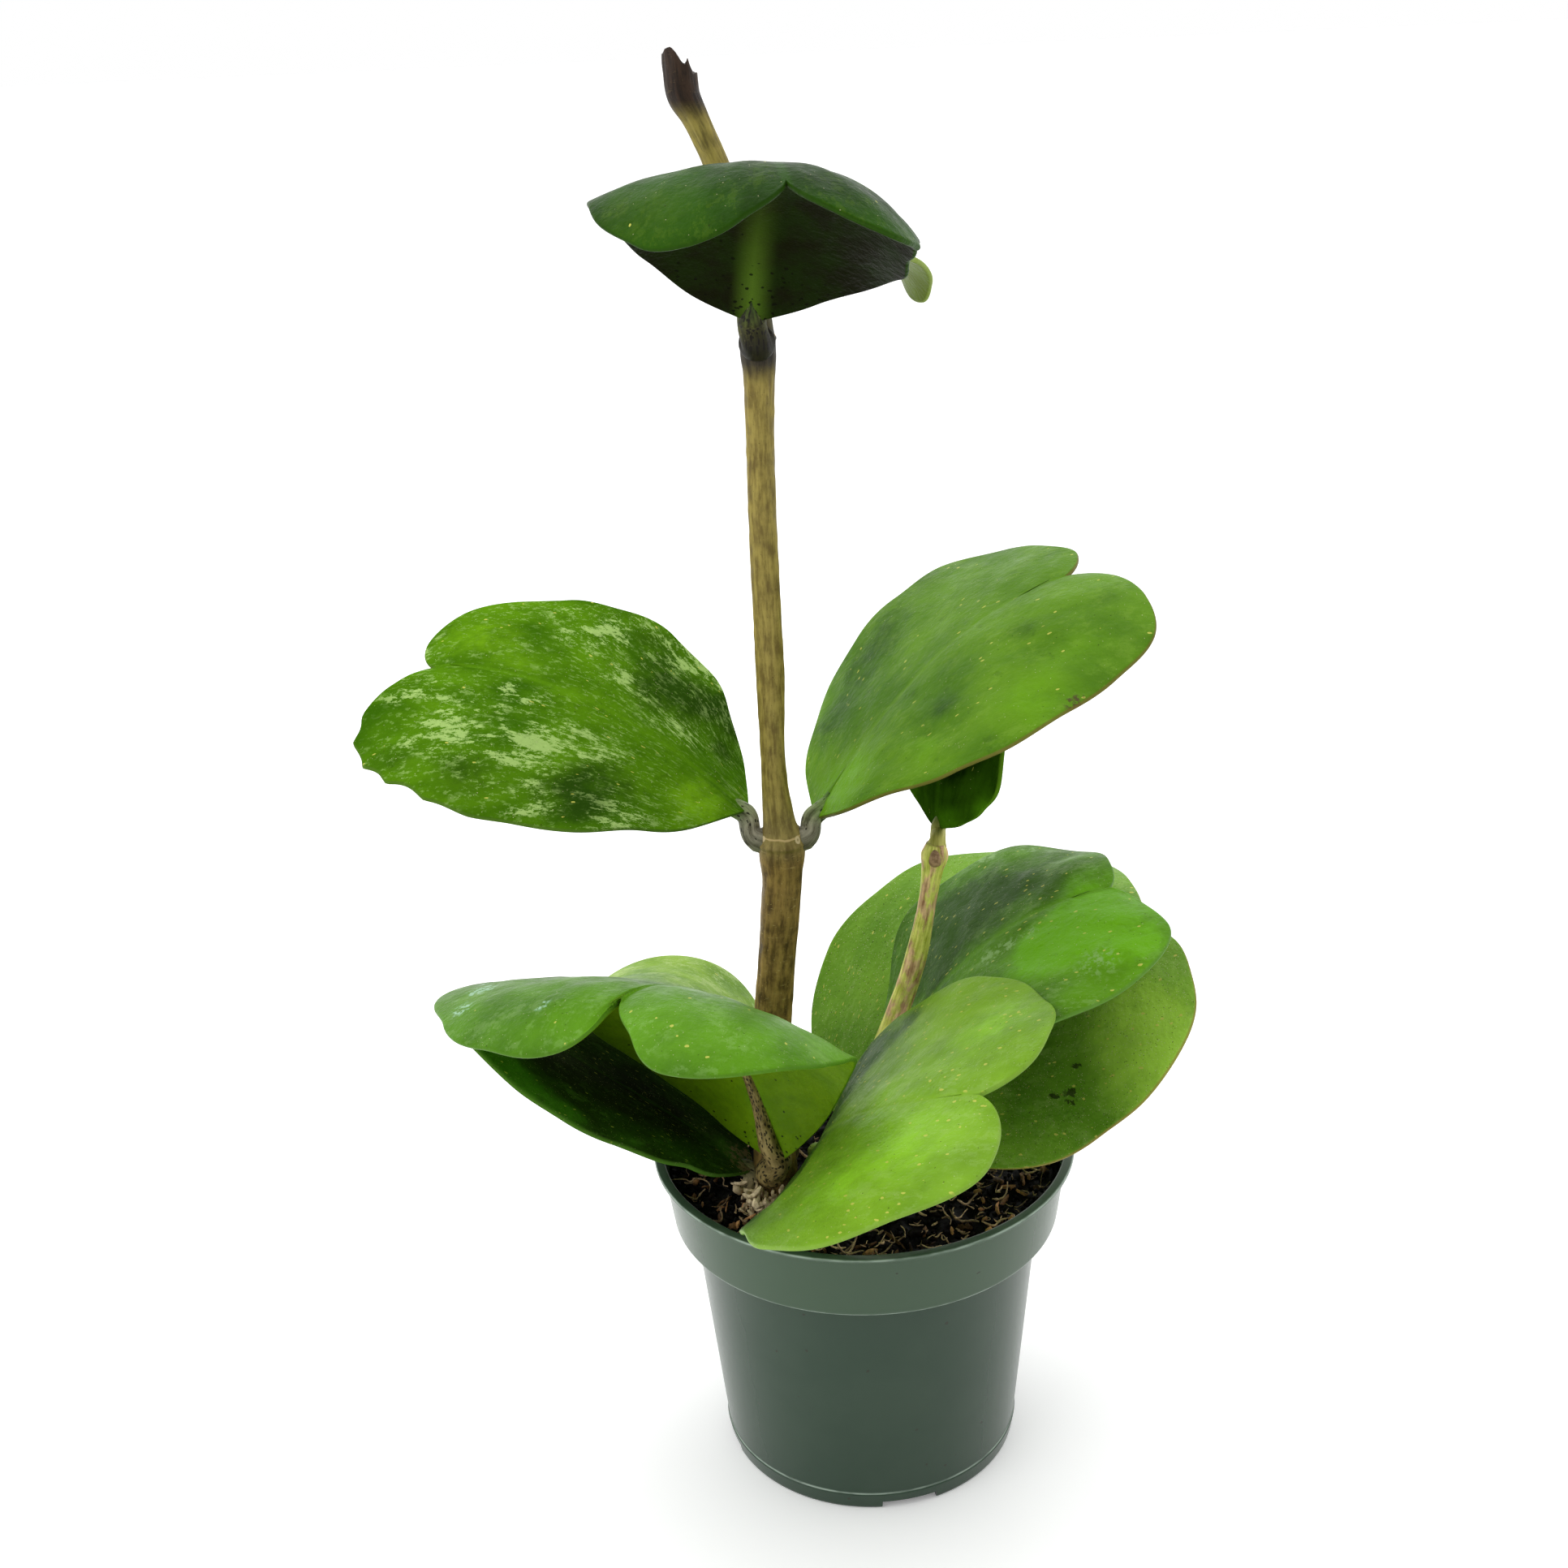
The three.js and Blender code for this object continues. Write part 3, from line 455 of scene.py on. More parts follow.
def tube(path, radius, sides, fixed=(1.0, 0.2, 0.1), flatness=1.0):
    """Rings of points round a path: centre + radius (side cos a + flatness other sin a). The side is a
    fixed direction made square to the path, and other is square to both. Works on one path or on a
    stack of them."""
    ahead = np.gradient(path, axis=-2)
    ahead /= np.linalg.norm(ahead, axis=-1, keepdims=True)
    fixed = np.broadcast_to(np.asarray(fixed, float), path.shape)
    side = fixed - ahead * np.sum(fixed * ahead, -1, keepdims=True)
    side /= np.linalg.norm(side, axis=-1, keepdims=True)
    other = np.cross(ahead, side)
    angle = circle(sides)[:, None]
    ring = np.cos(angle) * side[..., None, :] + flatness * np.sin(angle) * other[..., None, :]
    return path[..., None, :] + np.asarray(radius)[..., None, None] * ring


def closed_tubes(rings):
    """Points and faces of a stack of tubes, rings[n, row, side], each closed by a fan to its end ring's
    middle, and how many points each has."""
    count, rows, sides = rings.shape[:3]
    ends = np.stack([rings[:, 0].mean(1), rings[:, -1].mean(1)], 1)
    points = np.concatenate([rings.reshape(count, rows * sides, 3), ends], 1)
    each = points.shape[1]
    shift = (np.arange(count) * each)[:, None, None]
    faces = [(block + shift).reshape(-1, block.shape[1]) for block in ring_faces(rows, sides)]
    return points.reshape(-1, 3), faces, each


def strewn(random, count, reach):
    """Random places over the mix, evenly over a disc and clear of the stems: x and y."""
    radius = reach * np.sqrt(random.uniform(0, 1, 4 * count))
    turn = random.uniform(0, 2 * np.pi, 4 * count)
    x, y = radius * np.cos(turn), radius * np.sin(turn)
    clear = np.ones(len(x), bool)
    for foot_x, foot_y, room in STEM_FEET:
        clear &= np.hypot(x - foot_x, y - foot_y) > room
    return x[clear][:count], y[clear][:count]


def soil_material(name, dark, pale, damp_roughness):
    """Damp crumbly matter: the value tone of each bit runs its colour from dark to pale, with fine
    grain in it."""
    material, tree, shader = new_material(name, Specular_IOR_Level=0.12)
    place = object_place(tree)
    grain = noise(tree, place, 900.0, 4.0, 0.65)
    blend = times(tree, reading(tree, "tone"), rise(tree, grain, 0.3, 0.7, 0.45, 1.25))
    roughness = rise(tree, noise(tree, place, 300.0), 0.3, 0.7, damp_roughness - 0.12, damp_roughness + 0.12)
    attach(tree, shader, mix(tree, blend, dark, pale), roughness, grain, 0.6, 0.0006)
    return material


def make_soil():
    """The mass: rings of the bumpy top out to its rim, then straight down the side rings to the
    floor."""
    turn = circle(SOIL_SECTORS)
    side = np.array(SOIL_SIDE)
    reach = side[0, 0] * np.arange(1, SOIL_RINGS + 1)[:, None] / SOIL_RINGS
    x, y = reach * np.cos(turn), reach * np.sin(turn)
    rings = np.concatenate([np.stack([x, y, soil_height(x, y)], -1), turned_profile(side, SOIL_SECTORS)])
    points, faces = closed_rings(rings, (0, 0, SOIL_LEVEL), (0, 0, side[-1, 1]), -1)
    tone = np.clip(0.12 + 0.25 * lumps(points, 2.2, 7), 0, 1)
    peat = soil_material("damp_peat", "#030201", "#150e09", 0.72)
    new_piece("potting_mix", points, faces, "potting_mix", ["soil"], [peat], {"tone": tone})


def make_bits(name, material, count, seed, length, width, flatness, rows, sides, lift, bend, tones, reach,
              lean=0.28, spot=None):
    """Bits of one kind: tubes along short paths that lie on the mix, leaning a little and bent up at
    their ends by bend times the share from the middle squared, with a radius that swells to the middle.
    They are strewn over the reach, or heaped round a spot of x and y where one is given. Most of them
    take the darker of the tones."""
    random = np.random.default_rng(seed)
    if spot:
        x, y = random.normal(0, reach, (2, count)) + np.reshape(spot, (2, 1))
    else:
        x, y = strewn(random, count, reach)
    turn = random.uniform(0, 2 * np.pi, count)
    lean = random.normal(0, lean, count)
    size = length[0] + (length[1] - length[0]) * random.uniform(0, 1, count) ** 2
    thick = random.uniform(*width, count)
    share = np.linspace(-1, 1, rows)
    ahead = np.stack([np.cos(turn) * np.cos(lean), np.sin(turn) * np.cos(lean), np.sin(lean)], -1)
    across = np.stack([-np.sin(turn), np.cos(turn), np.zeros(count)], -1)
    curve = random.normal(0, bend, (count, 3)) * size[:, None]
    middle = np.stack([x, y, soil_height(x, y) + random.uniform(*lift, count)], -1)
    rise_up = (0, 0, 1) * np.abs(curve[:, 1:2])
    path = middle[:, None] + ahead[:, None] * (size[:, None] * share / 2)[..., None]
    path = path + (share ** 2)[None, :, None] * (across * curve[:, :1] + rise_up)[:, None]
    path = path + (share ** 3)[None, :, None] * (across * curve[:, 2:])[:, None]
    swell = thick[:, None] * (1 - 0.55 * share ** 4) * (1 + 0.25 * random.uniform(-1, 1, (count, rows)))
    rings = tube(path, swell, sides, (0.1, 0.2, 1.0), flatness)
    rings = rings + 0.18 * thick[:, None, None, None] * random.uniform(-1, 1, rings.shape)
    points, faces, each = closed_tubes(rings)
    tone = np.repeat(random.uniform(*tones, count) ** DARK_TONE_POWER, each)
    new_piece(name, points, faces, "potting_mix", (), [material], {"tone": tone})


make_soil()
make_bits("bark_shards", soil_material("bark", "#050302", "#f6b87c", 0.55), count=360, seed=21,
          length=(1.6, 7.0), width=(0.35, 1.3), flatness=0.4, rows=5, sides=6, lift=(-0.2, 1.0), bend=0.06,
          tones=(0.0, 1.0), reach=46.5)
make_bits("mix_crumbs", soil_material("peat_crumbs", "#020201", "#32271d", 0.7), count=2600, seed=22,
          length=(0.5, 2.2), width=(0.25, 0.8), flatness=0.8, rows=3, sides=5, lift=(-0.1, 0.7), bend=0.05,
          tones=(0.0, 0.8), reach=47.5)
make_bits("tan_fibres", soil_material("coir", "#2a170c", "#ffdcaa", 0.5), count=430, seed=23,
          length=(1.5, 6.5), width=(0.11, 0.34), flatness=0.6, rows=10, sides=5, lift=(0.5, 1.7), bend=0.3,
          tones=(0.55, 1.0), reach=46.0)
make_bits("crown_scurf", soil_material("old_root_skin", "#7a6240", "#f6e2b8", 0.7), count=90, seed=24,
          length=(2.5, 7.0), width=(0.3, 1.0), flatness=0.4, rows=7, sides=6, lift=(0.5, 7.0), bend=0.12,
          tones=(0.7, 1.0), reach=2.6, lean=0.9, spot=(-24.5, -22.5))


# The main stem
#
# The old woody stem: a straight round rod with two swollen joints where leaf pairs grow, olive brown
# skin with pale flecks and streaks, and a bare torn stump above its top pair. It stands in the mix.

MAIN_STEM = [  # x, y, z and radius
    (-22.0, -17.5, 47.6, 4.0),
    (-22.0, -17.5, 65.6, 4.6),
    (-22.0, -17.5, 82.0, 5.4),
    (-22.1, -16.4, 98.0, 4.7),
    (-21.3, -14.9, 122.0, 4.4),
    (-18.5, -13.9, 150.0, 4.5),
    (-17.3, -13.5, 163.0, 4.7),
    (-17.1, -13.5, 168.8, 5.3),
    (-17.1, -13.5, 171.5, 5.0),
    (-17.4, -13.5, 175.0, 3.9),
    (-17.8, -13.5, 180.0, 3.35),
    (-18.0, -13.5, 215.0, 3.1),
    (-18.1, -13.5, 250.0, 3.0),
    (-17.7, -13.5, 270.0, 3.1),
    (-17.5, -13.5, 277.0, 3.35),
    (-17.5, -13.5, 281.0, 3.7),
    (-17.5, -13.5, 284.5, 3.5),
    (-17.6, -13.5, 289.0, 2.9),
    (-19.4, -13.5, 304.0, 2.6),
    (-24.9, -13.5, 320.4, 2.6),
    (-28.1, -13.5, 327.9, 2.8),
    (-29.9, -13.5, 331.6, 3.3),
    (-30.4, -13.5, 336.0, 3.3),
    (-30.6, -13.5, 344.0, 3.0),
]
TORN_EDGE = [  # x and z of the tear, from its horn to the right
    (-33.6, 339.6), (-33.1, 340.6), (-31.9, 340.7), (-31.2, 339.9), (-29.9, 337.9),
    (-29.1, 337.5), (-28.8, 338.5), (-28.5, 337.3), (-27.9, 335.8),
]
STEM_SIDES = 56
STEM_ROWS = 900
SCAR_LINES = [172.9, 284.6]  # heights of the pale lines that old leaves left round the joints
SCARS = [(-12.9, -17.0, 172.6, 1.2), (-21.6, -16.0, 172.8, 0.8)]  # middle and size of ringed scars
JOINT_RINGS = [(170.8, 0.35, 0.5), (283.8, 0.3, 0.5)]  # height, size and width of the lines round joints
HOLLOW = [(0.9, 0.05), (0.75, 1.2), (0.5, 2.0), (0.25, 2.2)]  # share of the torn rim's reach, and depth
SKIN_RADIUS = 3.5
TONE_HEIGHTS = {"From Min": 0.08, "From Max": 0.34}
STEM_TONES = [  # share of the way up between the heights above, dark colour and pale colour
    (0.0, "#322715", "#7b6438"),
    (0.1, "#584423", "#b99854"),
    (0.33, "#564222", "#a5864a"),
    (0.352, "#5e5024", "#8f8048"),
    (0.4, "#665624", "#9c8c46"),
    (0.745, "#665624", "#9c8c46"),
    (0.768, "#17130d", "#3a3324"),
    (0.81, "#201d0e", "#4a4728"),
    (0.85, "#695f28", "#c8b65e"),
    (0.945, "#6a5f2e", "#a3944a"),
    (0.966, "#1a120c", "#3f2e22"),
]
FLECK_AMOUNTS = [(0.0, "#bbbbbb"), (0.33, "#cccccc"), (0.36, "#555555"), (1.0, "#444444")]


def smooth_path(stations, rows):
    """A curve through stations of x, y, z and radius: on each span, the cubic with the chord slopes of
    its neighbours at its ends (Hermite), spaced evenly along its length."""
    knots = np.array(stations, float)
    chord = np.concatenate([[0], np.cumsum(np.linalg.norm(np.diff(knots[:, :3], axis=0), axis=1))])
    slope = np.gradient(knots, chord, axis=0)
    along = np.linspace(0, chord[-1], rows)
    span = np.clip(np.searchsorted(chord, along, side="right") - 1, 0, len(knots) - 2)
    width = (chord[span + 1] - chord[span])[:, None]
    t = (along - chord[span])[:, None] / width
    curve = ((1 + 2 * t) * (1 - t) ** 2 * knots[span] + t * (1 - t) ** 2 * width * slope[span]
             + t * t * (3 - 2 * t) * knots[span + 1] - t * t * (1 - t) * width * slope[span + 1])
    return curve[:, :3], curve[:, 3], along


def skin_relief(path, sides, seed):
    """How far bark stands out round a stem: long ridges, stretched ten times along it, and small
    lumps."""
    turn = circle(sides)
    round_way = np.stack([4 * np.cos(turn), 4 * np.sin(turn)], -1)
    spot = np.concatenate([
        np.broadcast_to(round_way, (len(path), sides, 2)),
        np.broadcast_to(path[:, None, 2:] / 10, (len(path), sides, 1)),
    ], -1)
    return 0.12 * lumps(spot, 1.3, seed) + 0.07 * lumps(spot * (1, 1, 10), 2.1, seed + 1)


def swollen(path, rings, radius, relief):
    """The rings of a tube with a relief in millimetres added to its radius."""
    return path[:, None] + (rings - path[:, None]) * (1 + relief / radius[:, None])[..., None]


def with_ends(entries):
    """Entries for a tube's points, with the first and the last one again for the middles of its
    ends."""
    return np.concatenate([entries, entries[:1], entries[-1:]])


def skin_map(sides, along, radius):
    """Places round a tube of about that radius and along it, in units of 10 mm, for each of its
    points."""
    round_way = np.tile(circle(sides) * radius / 10, len(along))
    return with_ends(np.stack([round_way, np.repeat(along / 10, sides)], -1))


SKIN_OUTPUTS = {"Color": ["Colour"], "Float": ["Roughness", "Height"]}


def bark_group():
    """Skin of a stem: long streaks between two colours, pale flecks lying across it, dark pits, and the
    height of all of them. Vector runs round the stem and along it, in units of 10 mm."""
    tree, given, out = new_group("stem_skin", {
        "Vector": ["Vector"],
        "Color": ["Dark", "Pale", "Fleck"],
        "Float": ["Fleck Amount"],
    }, SKIN_OUTPUTS)
    vector = given["Vector"]
    streak = noise(tree, scaled(tree, vector, 1.0, 0.16, 1.0), 9.0, 5.0, 0.62)
    cloud = noise(tree, vector, 2.2, 4.0, 0.6)
    blend = maths(tree, "ADD", times(tree, streak, 0.62), times(tree, cloud, 0.38))
    lying = noise(tree, scaled(tree, vector, 0.45, 1.6, 1.0), 8.0, 4.0, 0.7)
    flecks = times(tree, rise(tree, lying, 0.6, 0.68), given["Fleck Amount"])
    dots = times(tree, grains(tree, vector, 16.0, 0.2, 0.22, 0.05), given["Fleck Amount"])
    pits = grains(tree, vector, 22.0, 0.18, 0.16, 0.04)
    colour = layered(
        tree, mix(tree, rise(tree, blend, 0.36, 0.64), given["Dark"], given["Pale"]),
        (maths(tree, "MAXIMUM", flecks, times(tree, dots, 0.8)), given["Fleck"]),
        (times(tree, pits, 0.65), "#17120b"),
    )
    raised = maths(tree, "ADD", streak, times(tree, flecks, 0.3))
    tree.links.new(colour, out["Colour"])
    tree.links.new(rise(tree, cloud, 0.3, 0.7, 0.46, 0.66), out["Roughness"])
    tree.links.new(maths(tree, "SUBTRACT", raised, times(tree, pits, 0.5)), out["Height"])
    return tree


STEM_SKIN = bark_group()


def bark(tree, dark, pale, fleck, amount):
    """The stem skin on the piece's own map, with these colours. Colours may come from other nodes."""
    values = {"Vector": own_map(tree, "skin"), "Dark": dark, "Pale": pale, "Fleck": fleck,
              "Fleck Amount": amount}
    return node(tree, "ShaderNodeGroup", values, node_tree=STEM_SKIN).outputs[:]


def bands(tree, value, stops):
    """A colour ramp over a value, with stops of position and hex code."""
    ramp = node(tree, "ShaderNodeValToRGB", {"Fac": value})
    ramp.color_ramp.interpolation = "EASE"
    while len(ramp.color_ramp.elements) < len(stops):
        ramp.color_ramp.elements.new(1.0)
    for element, (position, code) in zip(ramp.color_ramp.elements, stops):
        element.position = position
        element.color = paint(code)
    return ramp.outputs["Color"]


def stem_piece(name, slot, replaced, rings, along, material):
    """One stem from its rings, with its skin map."""
    points, faces, _ = closed_tubes(rings[None])
    skin = skin_map(rings.shape[1], along, SKIN_RADIUS)
    new_piece(name, points, faces, slot, [replaced], [material], {"skin": skin})


def main_stem_material():
    """Brown below the middle joint with tan flecks, olive yellow and streaked above it, near black at
    the joints and at the tear."""
    material, tree, shader = new_material("old_stem", Specular_IOR_Level=0.2)
    place = object_place(tree)
    z = parted(tree, place)["Z"]
    height = node(tree, "ShaderNodeMapRange", {"Value": z, **TONE_HEIGHTS}).outputs["Result"]
    dark, pale = (bands(tree, height, [(stop[0], stop[column]) for stop in STEM_TONES]) for column in (1, 2))
    amount = node(tree, "ShaderNodeSeparateColor", {0: bands(tree, height, FLECK_AMOUNTS)}).outputs[0]
    colour, roughness, relief = bark(tree, dark, pale, "#c9b070", amount)
    wavy = maths(tree, "MULTIPLY_ADD", noise(tree, place, 300.0, 2.0), 0.0016, z)
    for line_height in SCAR_LINES:
        away = maths(tree, "ABSOLUTE", maths(tree, "SUBTRACT", wavy, line_height * MM + 0.0008))
        colour = mix(tree, rise(tree, away, 0.00012, 0.0003, 0.75, 0.0), colour, "#bfa672")
    for x, y, scar_z, size in SCARS:
        away = vector_maths(tree, "DISTANCE", place, (x * MM, y * MM, scar_z * MM))
        off_ring = maths(tree, "ABSOLUTE", maths(tree, "SUBTRACT", away, 0.8 * size * MM))
        colour = layered(
            tree, colour,
            (rise(tree, away, 0.3 * size * MM, 0.6 * size * MM, 0.9, 0.0), "#3c261a"),
            (rise(tree, off_ring, 0.08 * MM, 0.3 * MM, 0.9, 0.0), "#cbb88e"),
        )
    attach(tree, shader, colour, roughness, relief, 0.5, 0.0006)
    return material


def make_main_stem():
    """The tube of the smooth path, its radius raised by the joint lines and the bark. Points above the
    torn edge, which is read at their x and made ragged, drop onto it, and the end is hollowed."""
    path, radius, along = smooth_path(MAIN_STEM, STEM_ROWS)
    for height, size, width in JOINT_RINGS:
        radius = radius + size * np.exp(-((path[:, 2] - height) / width) ** 2)
    rings = swollen(path, tube(path, radius, STEM_SIDES), radius, skin_relief(path, STEM_SIDES, 31))
    turn = circle(STEM_SIDES)
    ragged = 0.35 * lumps(np.stack([3 * np.cos(turn), 3 * np.sin(turn), 0 * turn], -1), 1.1, 33)
    edge_x, edge_z = np.array(TORN_EDGE).T
    beyond = np.maximum(rings[..., 2] - np.interp(rings[..., 0], edge_x, edge_z) - ragged, 0)
    rings[..., 2] -= beyond
    last = np.argmax((beyond > 0).all(1)) + 1
    rim = rings[last - 1]
    shrink, depth = np.array(HOLLOW).T[..., None, None]
    hollow = rim.mean(0) + (rim - rim.mean(0)) * shrink - depth * (0, 0, 1)
    along = np.concatenate([along[:last], along[last - 1] + np.arange(1, len(HOLLOW) + 1)])
    rings = np.concatenate([rings[:last], hollow])
    stem_piece("woody_stem", "old_stem", "main_stem", rings, along, main_stem_material())


make_main_stem()


# The side stem
#
# A younger, thinner stem: yellow green skin blotched with purplish brown, leaning to the right and
# ending at the joint of its small leaf, with one brown bud on the front of the joint.

SIDE_STEM = [
    (-7.2, -6.0, 47.6, 2.4),
    (-7.2, -6.0, 65.6, 2.8),
    (-7.2, -6.0, 80.0, 3.1),
    (-4.8, -5.8, 89.0, 3.2),
    (4.5, -7.5, 111.4, 2.8),
    (13.3, -8.0, 137.0, 2.6),
    (17.6, -8.0, 160.0, 2.5),
    (18.2, -8.0, 164.0, 3.1),
    (18.4, -8.0, 166.4, 2.2),
]
SIDE_STEM_SIDES = 40
SIDE_STEM_ROWS = 420
BUD_MIDDLE = (18.0, -10.4, 163.6)
BUD_SIZE = (1.5, 1.1, 2.2)


def side_stem_material():
    """Yellow green with purplish brown blotches that follow the stem, and a few pale flecks."""
    material, tree, shader = new_material("young_stem", Specular_IOR_Level=0.2)
    blotch = noise(tree, scaled(tree, own_map(tree, "skin"), 1.0, 0.45, 1.0), 2.6, 5.0, 0.62)
    brown = rise(tree, blotch, 0.44, 0.58)
    dark = mix(tree, brown, "#b0b640", "#96694a")
    pale = mix(tree, brown, "#f6f486", "#f6d09e")
    attach(tree, shader, *bark(tree, dark, pale, "#c8b98a", 0.35), 0.4, 0.0005)
    return material


def make_side_stem():
    """The tube of the smooth path with bark relief, and a bud: an egg of the given half sizes on its
    joint."""
    path, radius, along = smooth_path(SIDE_STEM, SIDE_STEM_ROWS)
    relief = 0.8 * skin_relief(path, SIDE_STEM_SIDES, 41)
    rings = swollen(path, tube(path, radius, SIDE_STEM_SIDES), radius, relief)
    stem_piece("young_stem", "young_stem", "side_stem", rings, along, side_stem_material())
    height = np.linspace(-0.97, 0.97, 15)
    egg_path = np.stack([0 * height, 0 * height, height], -1)
    egg = tube(egg_path, np.sqrt(1 - height ** 2) * (1 - 0.25 * height), 20) * BUD_SIZE + BUD_MIDDLE
    points, faces, each = closed_tubes(egg[None])
    scale = soil_material("bud_scale", "#4a2c1a", "#d0aa84", 0.5)
    new_piece("stem_bud", points, faces, "young_stem", (), [scale], {"tone": np.full(each, 0.6)})


make_side_stem()


# The leaves
#
# Thick waxy heart-shaped blades on short stout stalks, each leaf one grown piece. A blade is drawn
# flat and then bent: its midrib curls, sways and twists, its two halves cup, and its margin is waved.

MIDRIB_REACH = 1.15  # shares of the length, past the tip
MIDRIB_ROWS = 231
BLADE_ROWS = 141
ROW_POWER = 1.55  # brings the rows closer on the midrib towards the base
HALF_COLUMNS = 37
BLADE_THICKNESS = 2.2
MARGIN_THICKNESS = 1.15
MARGIN_ROUNDING = 0.7
LEAST_THICKNESS = 0.35  # the share of the smooth thickness that dents leave
BUMP_SIZES = [(0.55, 13), (0.3, 5.5), (0.12, 2.4)]  # share of the height, and size
BUMP_FADE = 6
VEIN_COUNT = 9
GROOVE = [(0.1, 1.1), (0.16, 4.0)]  # depth and reach of the groove over the midrib
BASE_HALF_WIDTH = 1.6
FAN_POINT = 16.0  # how far behind the blade's base the flecks fan out from
MAP_UNIT = 100.0  # millimetres to the unit of the flat map and the fan map
NEAR = 10.0  # millimetres over which the readings edge and across rise to 1
RIB = [(0.05, 0.85), (0.15, 0.55), (0.4, 0.25), (0.7, 0.08)]  # shares of the length and of the stalk's radius
RIB_END = 0.86
RIB_TIP = 0.02
RIB_ROWS = 30
RIB_SUNK = 0.4
BOW_ROWS = 40
BOW_PULL = 0.45
BURIED = (2.4, 1.0)  # how deep in the stem the stalk's first two rows lie
BURIED_SWELL = 1.25
FOOT_SWELL = 0.28
STALK_ROWS = 180
STALK_SIDES = 28
STALK_SKIN_RADIUS = 2.4
BLADE_VALUES = ("upper", "edge", "across", "along", "patch", "stain", "flecked")
LEAF_COLOURS = ("Deep", "Bright", "Pale", "Dark", "Stain And Sheen", "Mottle", "Underside", "Rim")
LEAF_AMOUNTS = ("Mottle Amount", "Tick Amount", "Blotch Amount", "Dust Amount", "Speck Amount")


def bezier(start, start_pull, end_pull, end, count):
    """Points at even t from 0 to 1: (1 - t) cubed start + 3 t (1 - t) squared start pull + 3 t squared
    (1 - t) end pull + t cubed end."""
    t = np.linspace(0, 1, count)[:, None]
    shares = ((1 - t) ** 3, 3 * t * (1 - t) ** 2, 3 * t * t * (1 - t), t ** 3)
    return sum(share * np.array(point) for share, point in zip(shares, (start, start_pull, end_pull, end)))


def length_along(curve):
    """The length walked along a line of points at each of them."""
    return np.concatenate([[0], np.cumsum(np.linalg.norm(np.diff(curve, axis=0), axis=1))])


def leaf_margin(leaf, side, shares):
    """Points of the flat margin at shares of its length from base to notch: three cubic curves, out to
    the shoulder, over the lobe, and into the notch. A lopsided leaf is longer on one side. Offsets at
    even shares move the curve out or in, square to itself, and are blended by 3 t squared - 2 t cubed.
    Scallops along part of one side are bites of depth |sin(pi count t)|."""
    half, length, full = leaf["width"] / 2, leaf["length"], leaf["fullness"]
    shoulder = leaf["shoulder"] * length
    notch = (0, (1 - leaf["notch"]) * length)
    curve = np.concatenate([
        bezier((BASE_HALF_WIDTH, 0), (0.5 * full * half, (0.16 - 0.06 * full) * length),
               (half, shoulder - 0.3 * full * length), (half, shoulder), 200),
        bezier((half, shoulder), (half, shoulder + 0.2 * length),
               (0.8 * half, length), (0.5 * half, length), 100),
        bezier((0.5 * half, length), (0.22 * half, length),
               (0.05 * half, (1 - 0.45 * leaf["notch"]) * length), notch, 100),
    ])
    curve[:, 1] *= 1 + side * leaf["lopsided"] * curve[:, 0] / half
    offsets = np.array([0, *leaf["margin"][0 if side > 0 else 1], 0])
    place = length_along(curve) / length_along(curve)[-1] * (len(offsets) - 1)
    low = np.minimum(place.astype(int), len(offsets) - 2)
    t = place - low
    shift = offsets[low] + (offsets[low + 1] - offsets[low]) * t * t * (3 - 2 * t)
    if leaf.get("scallops", (0,))[0] == side:
        _, start, end, depth, count = leaf["scallops"]
        t = np.clip((place / (len(offsets) - 1) - start) / (end - start), 0, 1)
        shift -= depth * np.abs(np.sin(np.pi * count * t)) * np.sin(np.pi * t) ** 0.5
    slope = np.gradient(curve, axis=0)
    slope /= np.linalg.norm(slope, axis=1, keepdims=True)
    curve = curve + shift[:, None] * np.stack([slope[:, 1], -slope[:, 0]], -1)
    walked = length_along(curve)
    spots = shares * walked[-1]
    return np.stack([side * np.interp(spots, walked, curve[:, 0]), np.interp(spots, walked, curve[:, 1])], -1)


def turned(one, other, angle):
    """One unit vector turned towards another at right angles to it: one cos angle + other sin angle."""
    angle = np.asarray(angle)[..., None]
    return one * np.cos(angle) + other * np.sin(angle)


def midrib_frames(leaf):
    """Frames along the bent midrib: distance along it, centre, the way to the right and the way up. The
    way ahead turns down by curl times the share to a power, and sideways by sway times the share; the
    frame also twists."""
    azimuth, climb, roll = np.radians([leaf["azimuth"], leaf["rise"], leaf["roll"]])
    heading = np.array([math.cos(azimuth), math.sin(azimuth), 0.0])
    upright = np.array([0.0, 0.0, 1.0])
    ahead = turned(heading, upright, climb)
    flat_up = turned(heading, upright, climb + math.pi / 2)
    flat_right = np.cross(ahead, flat_up)
    up = turned(flat_up, flat_right, -roll)
    right = turned(flat_right, flat_up, roll)
    share = np.linspace(0, MIDRIB_REACH, MIDRIB_ROWS)
    curl = math.radians(leaf["curl"]) * share ** leaf["curl_power"]
    sway = math.radians(leaf["sway"]) * share
    twist = math.radians(leaf["twist"]) * share
    curled_ahead = turned(ahead, up, -curl)
    curled_up = turned(up, ahead, curl)
    tangent = turned(curled_ahead, right, sway)
    swayed_right = turned(right, curled_ahead, -sway)
    step = share[1] * leaf["length"]
    walked = np.cumsum((tangent[1:] + tangent[:-1]) * step / 2, 0)
    centre = np.asarray(leaf["base"]) + np.concatenate([np.zeros((1, 3)), walked])
    return (share * leaf["length"], centre, turned(swayed_right, curled_up, twist),
            turned(curled_up, swayed_right, -twist))


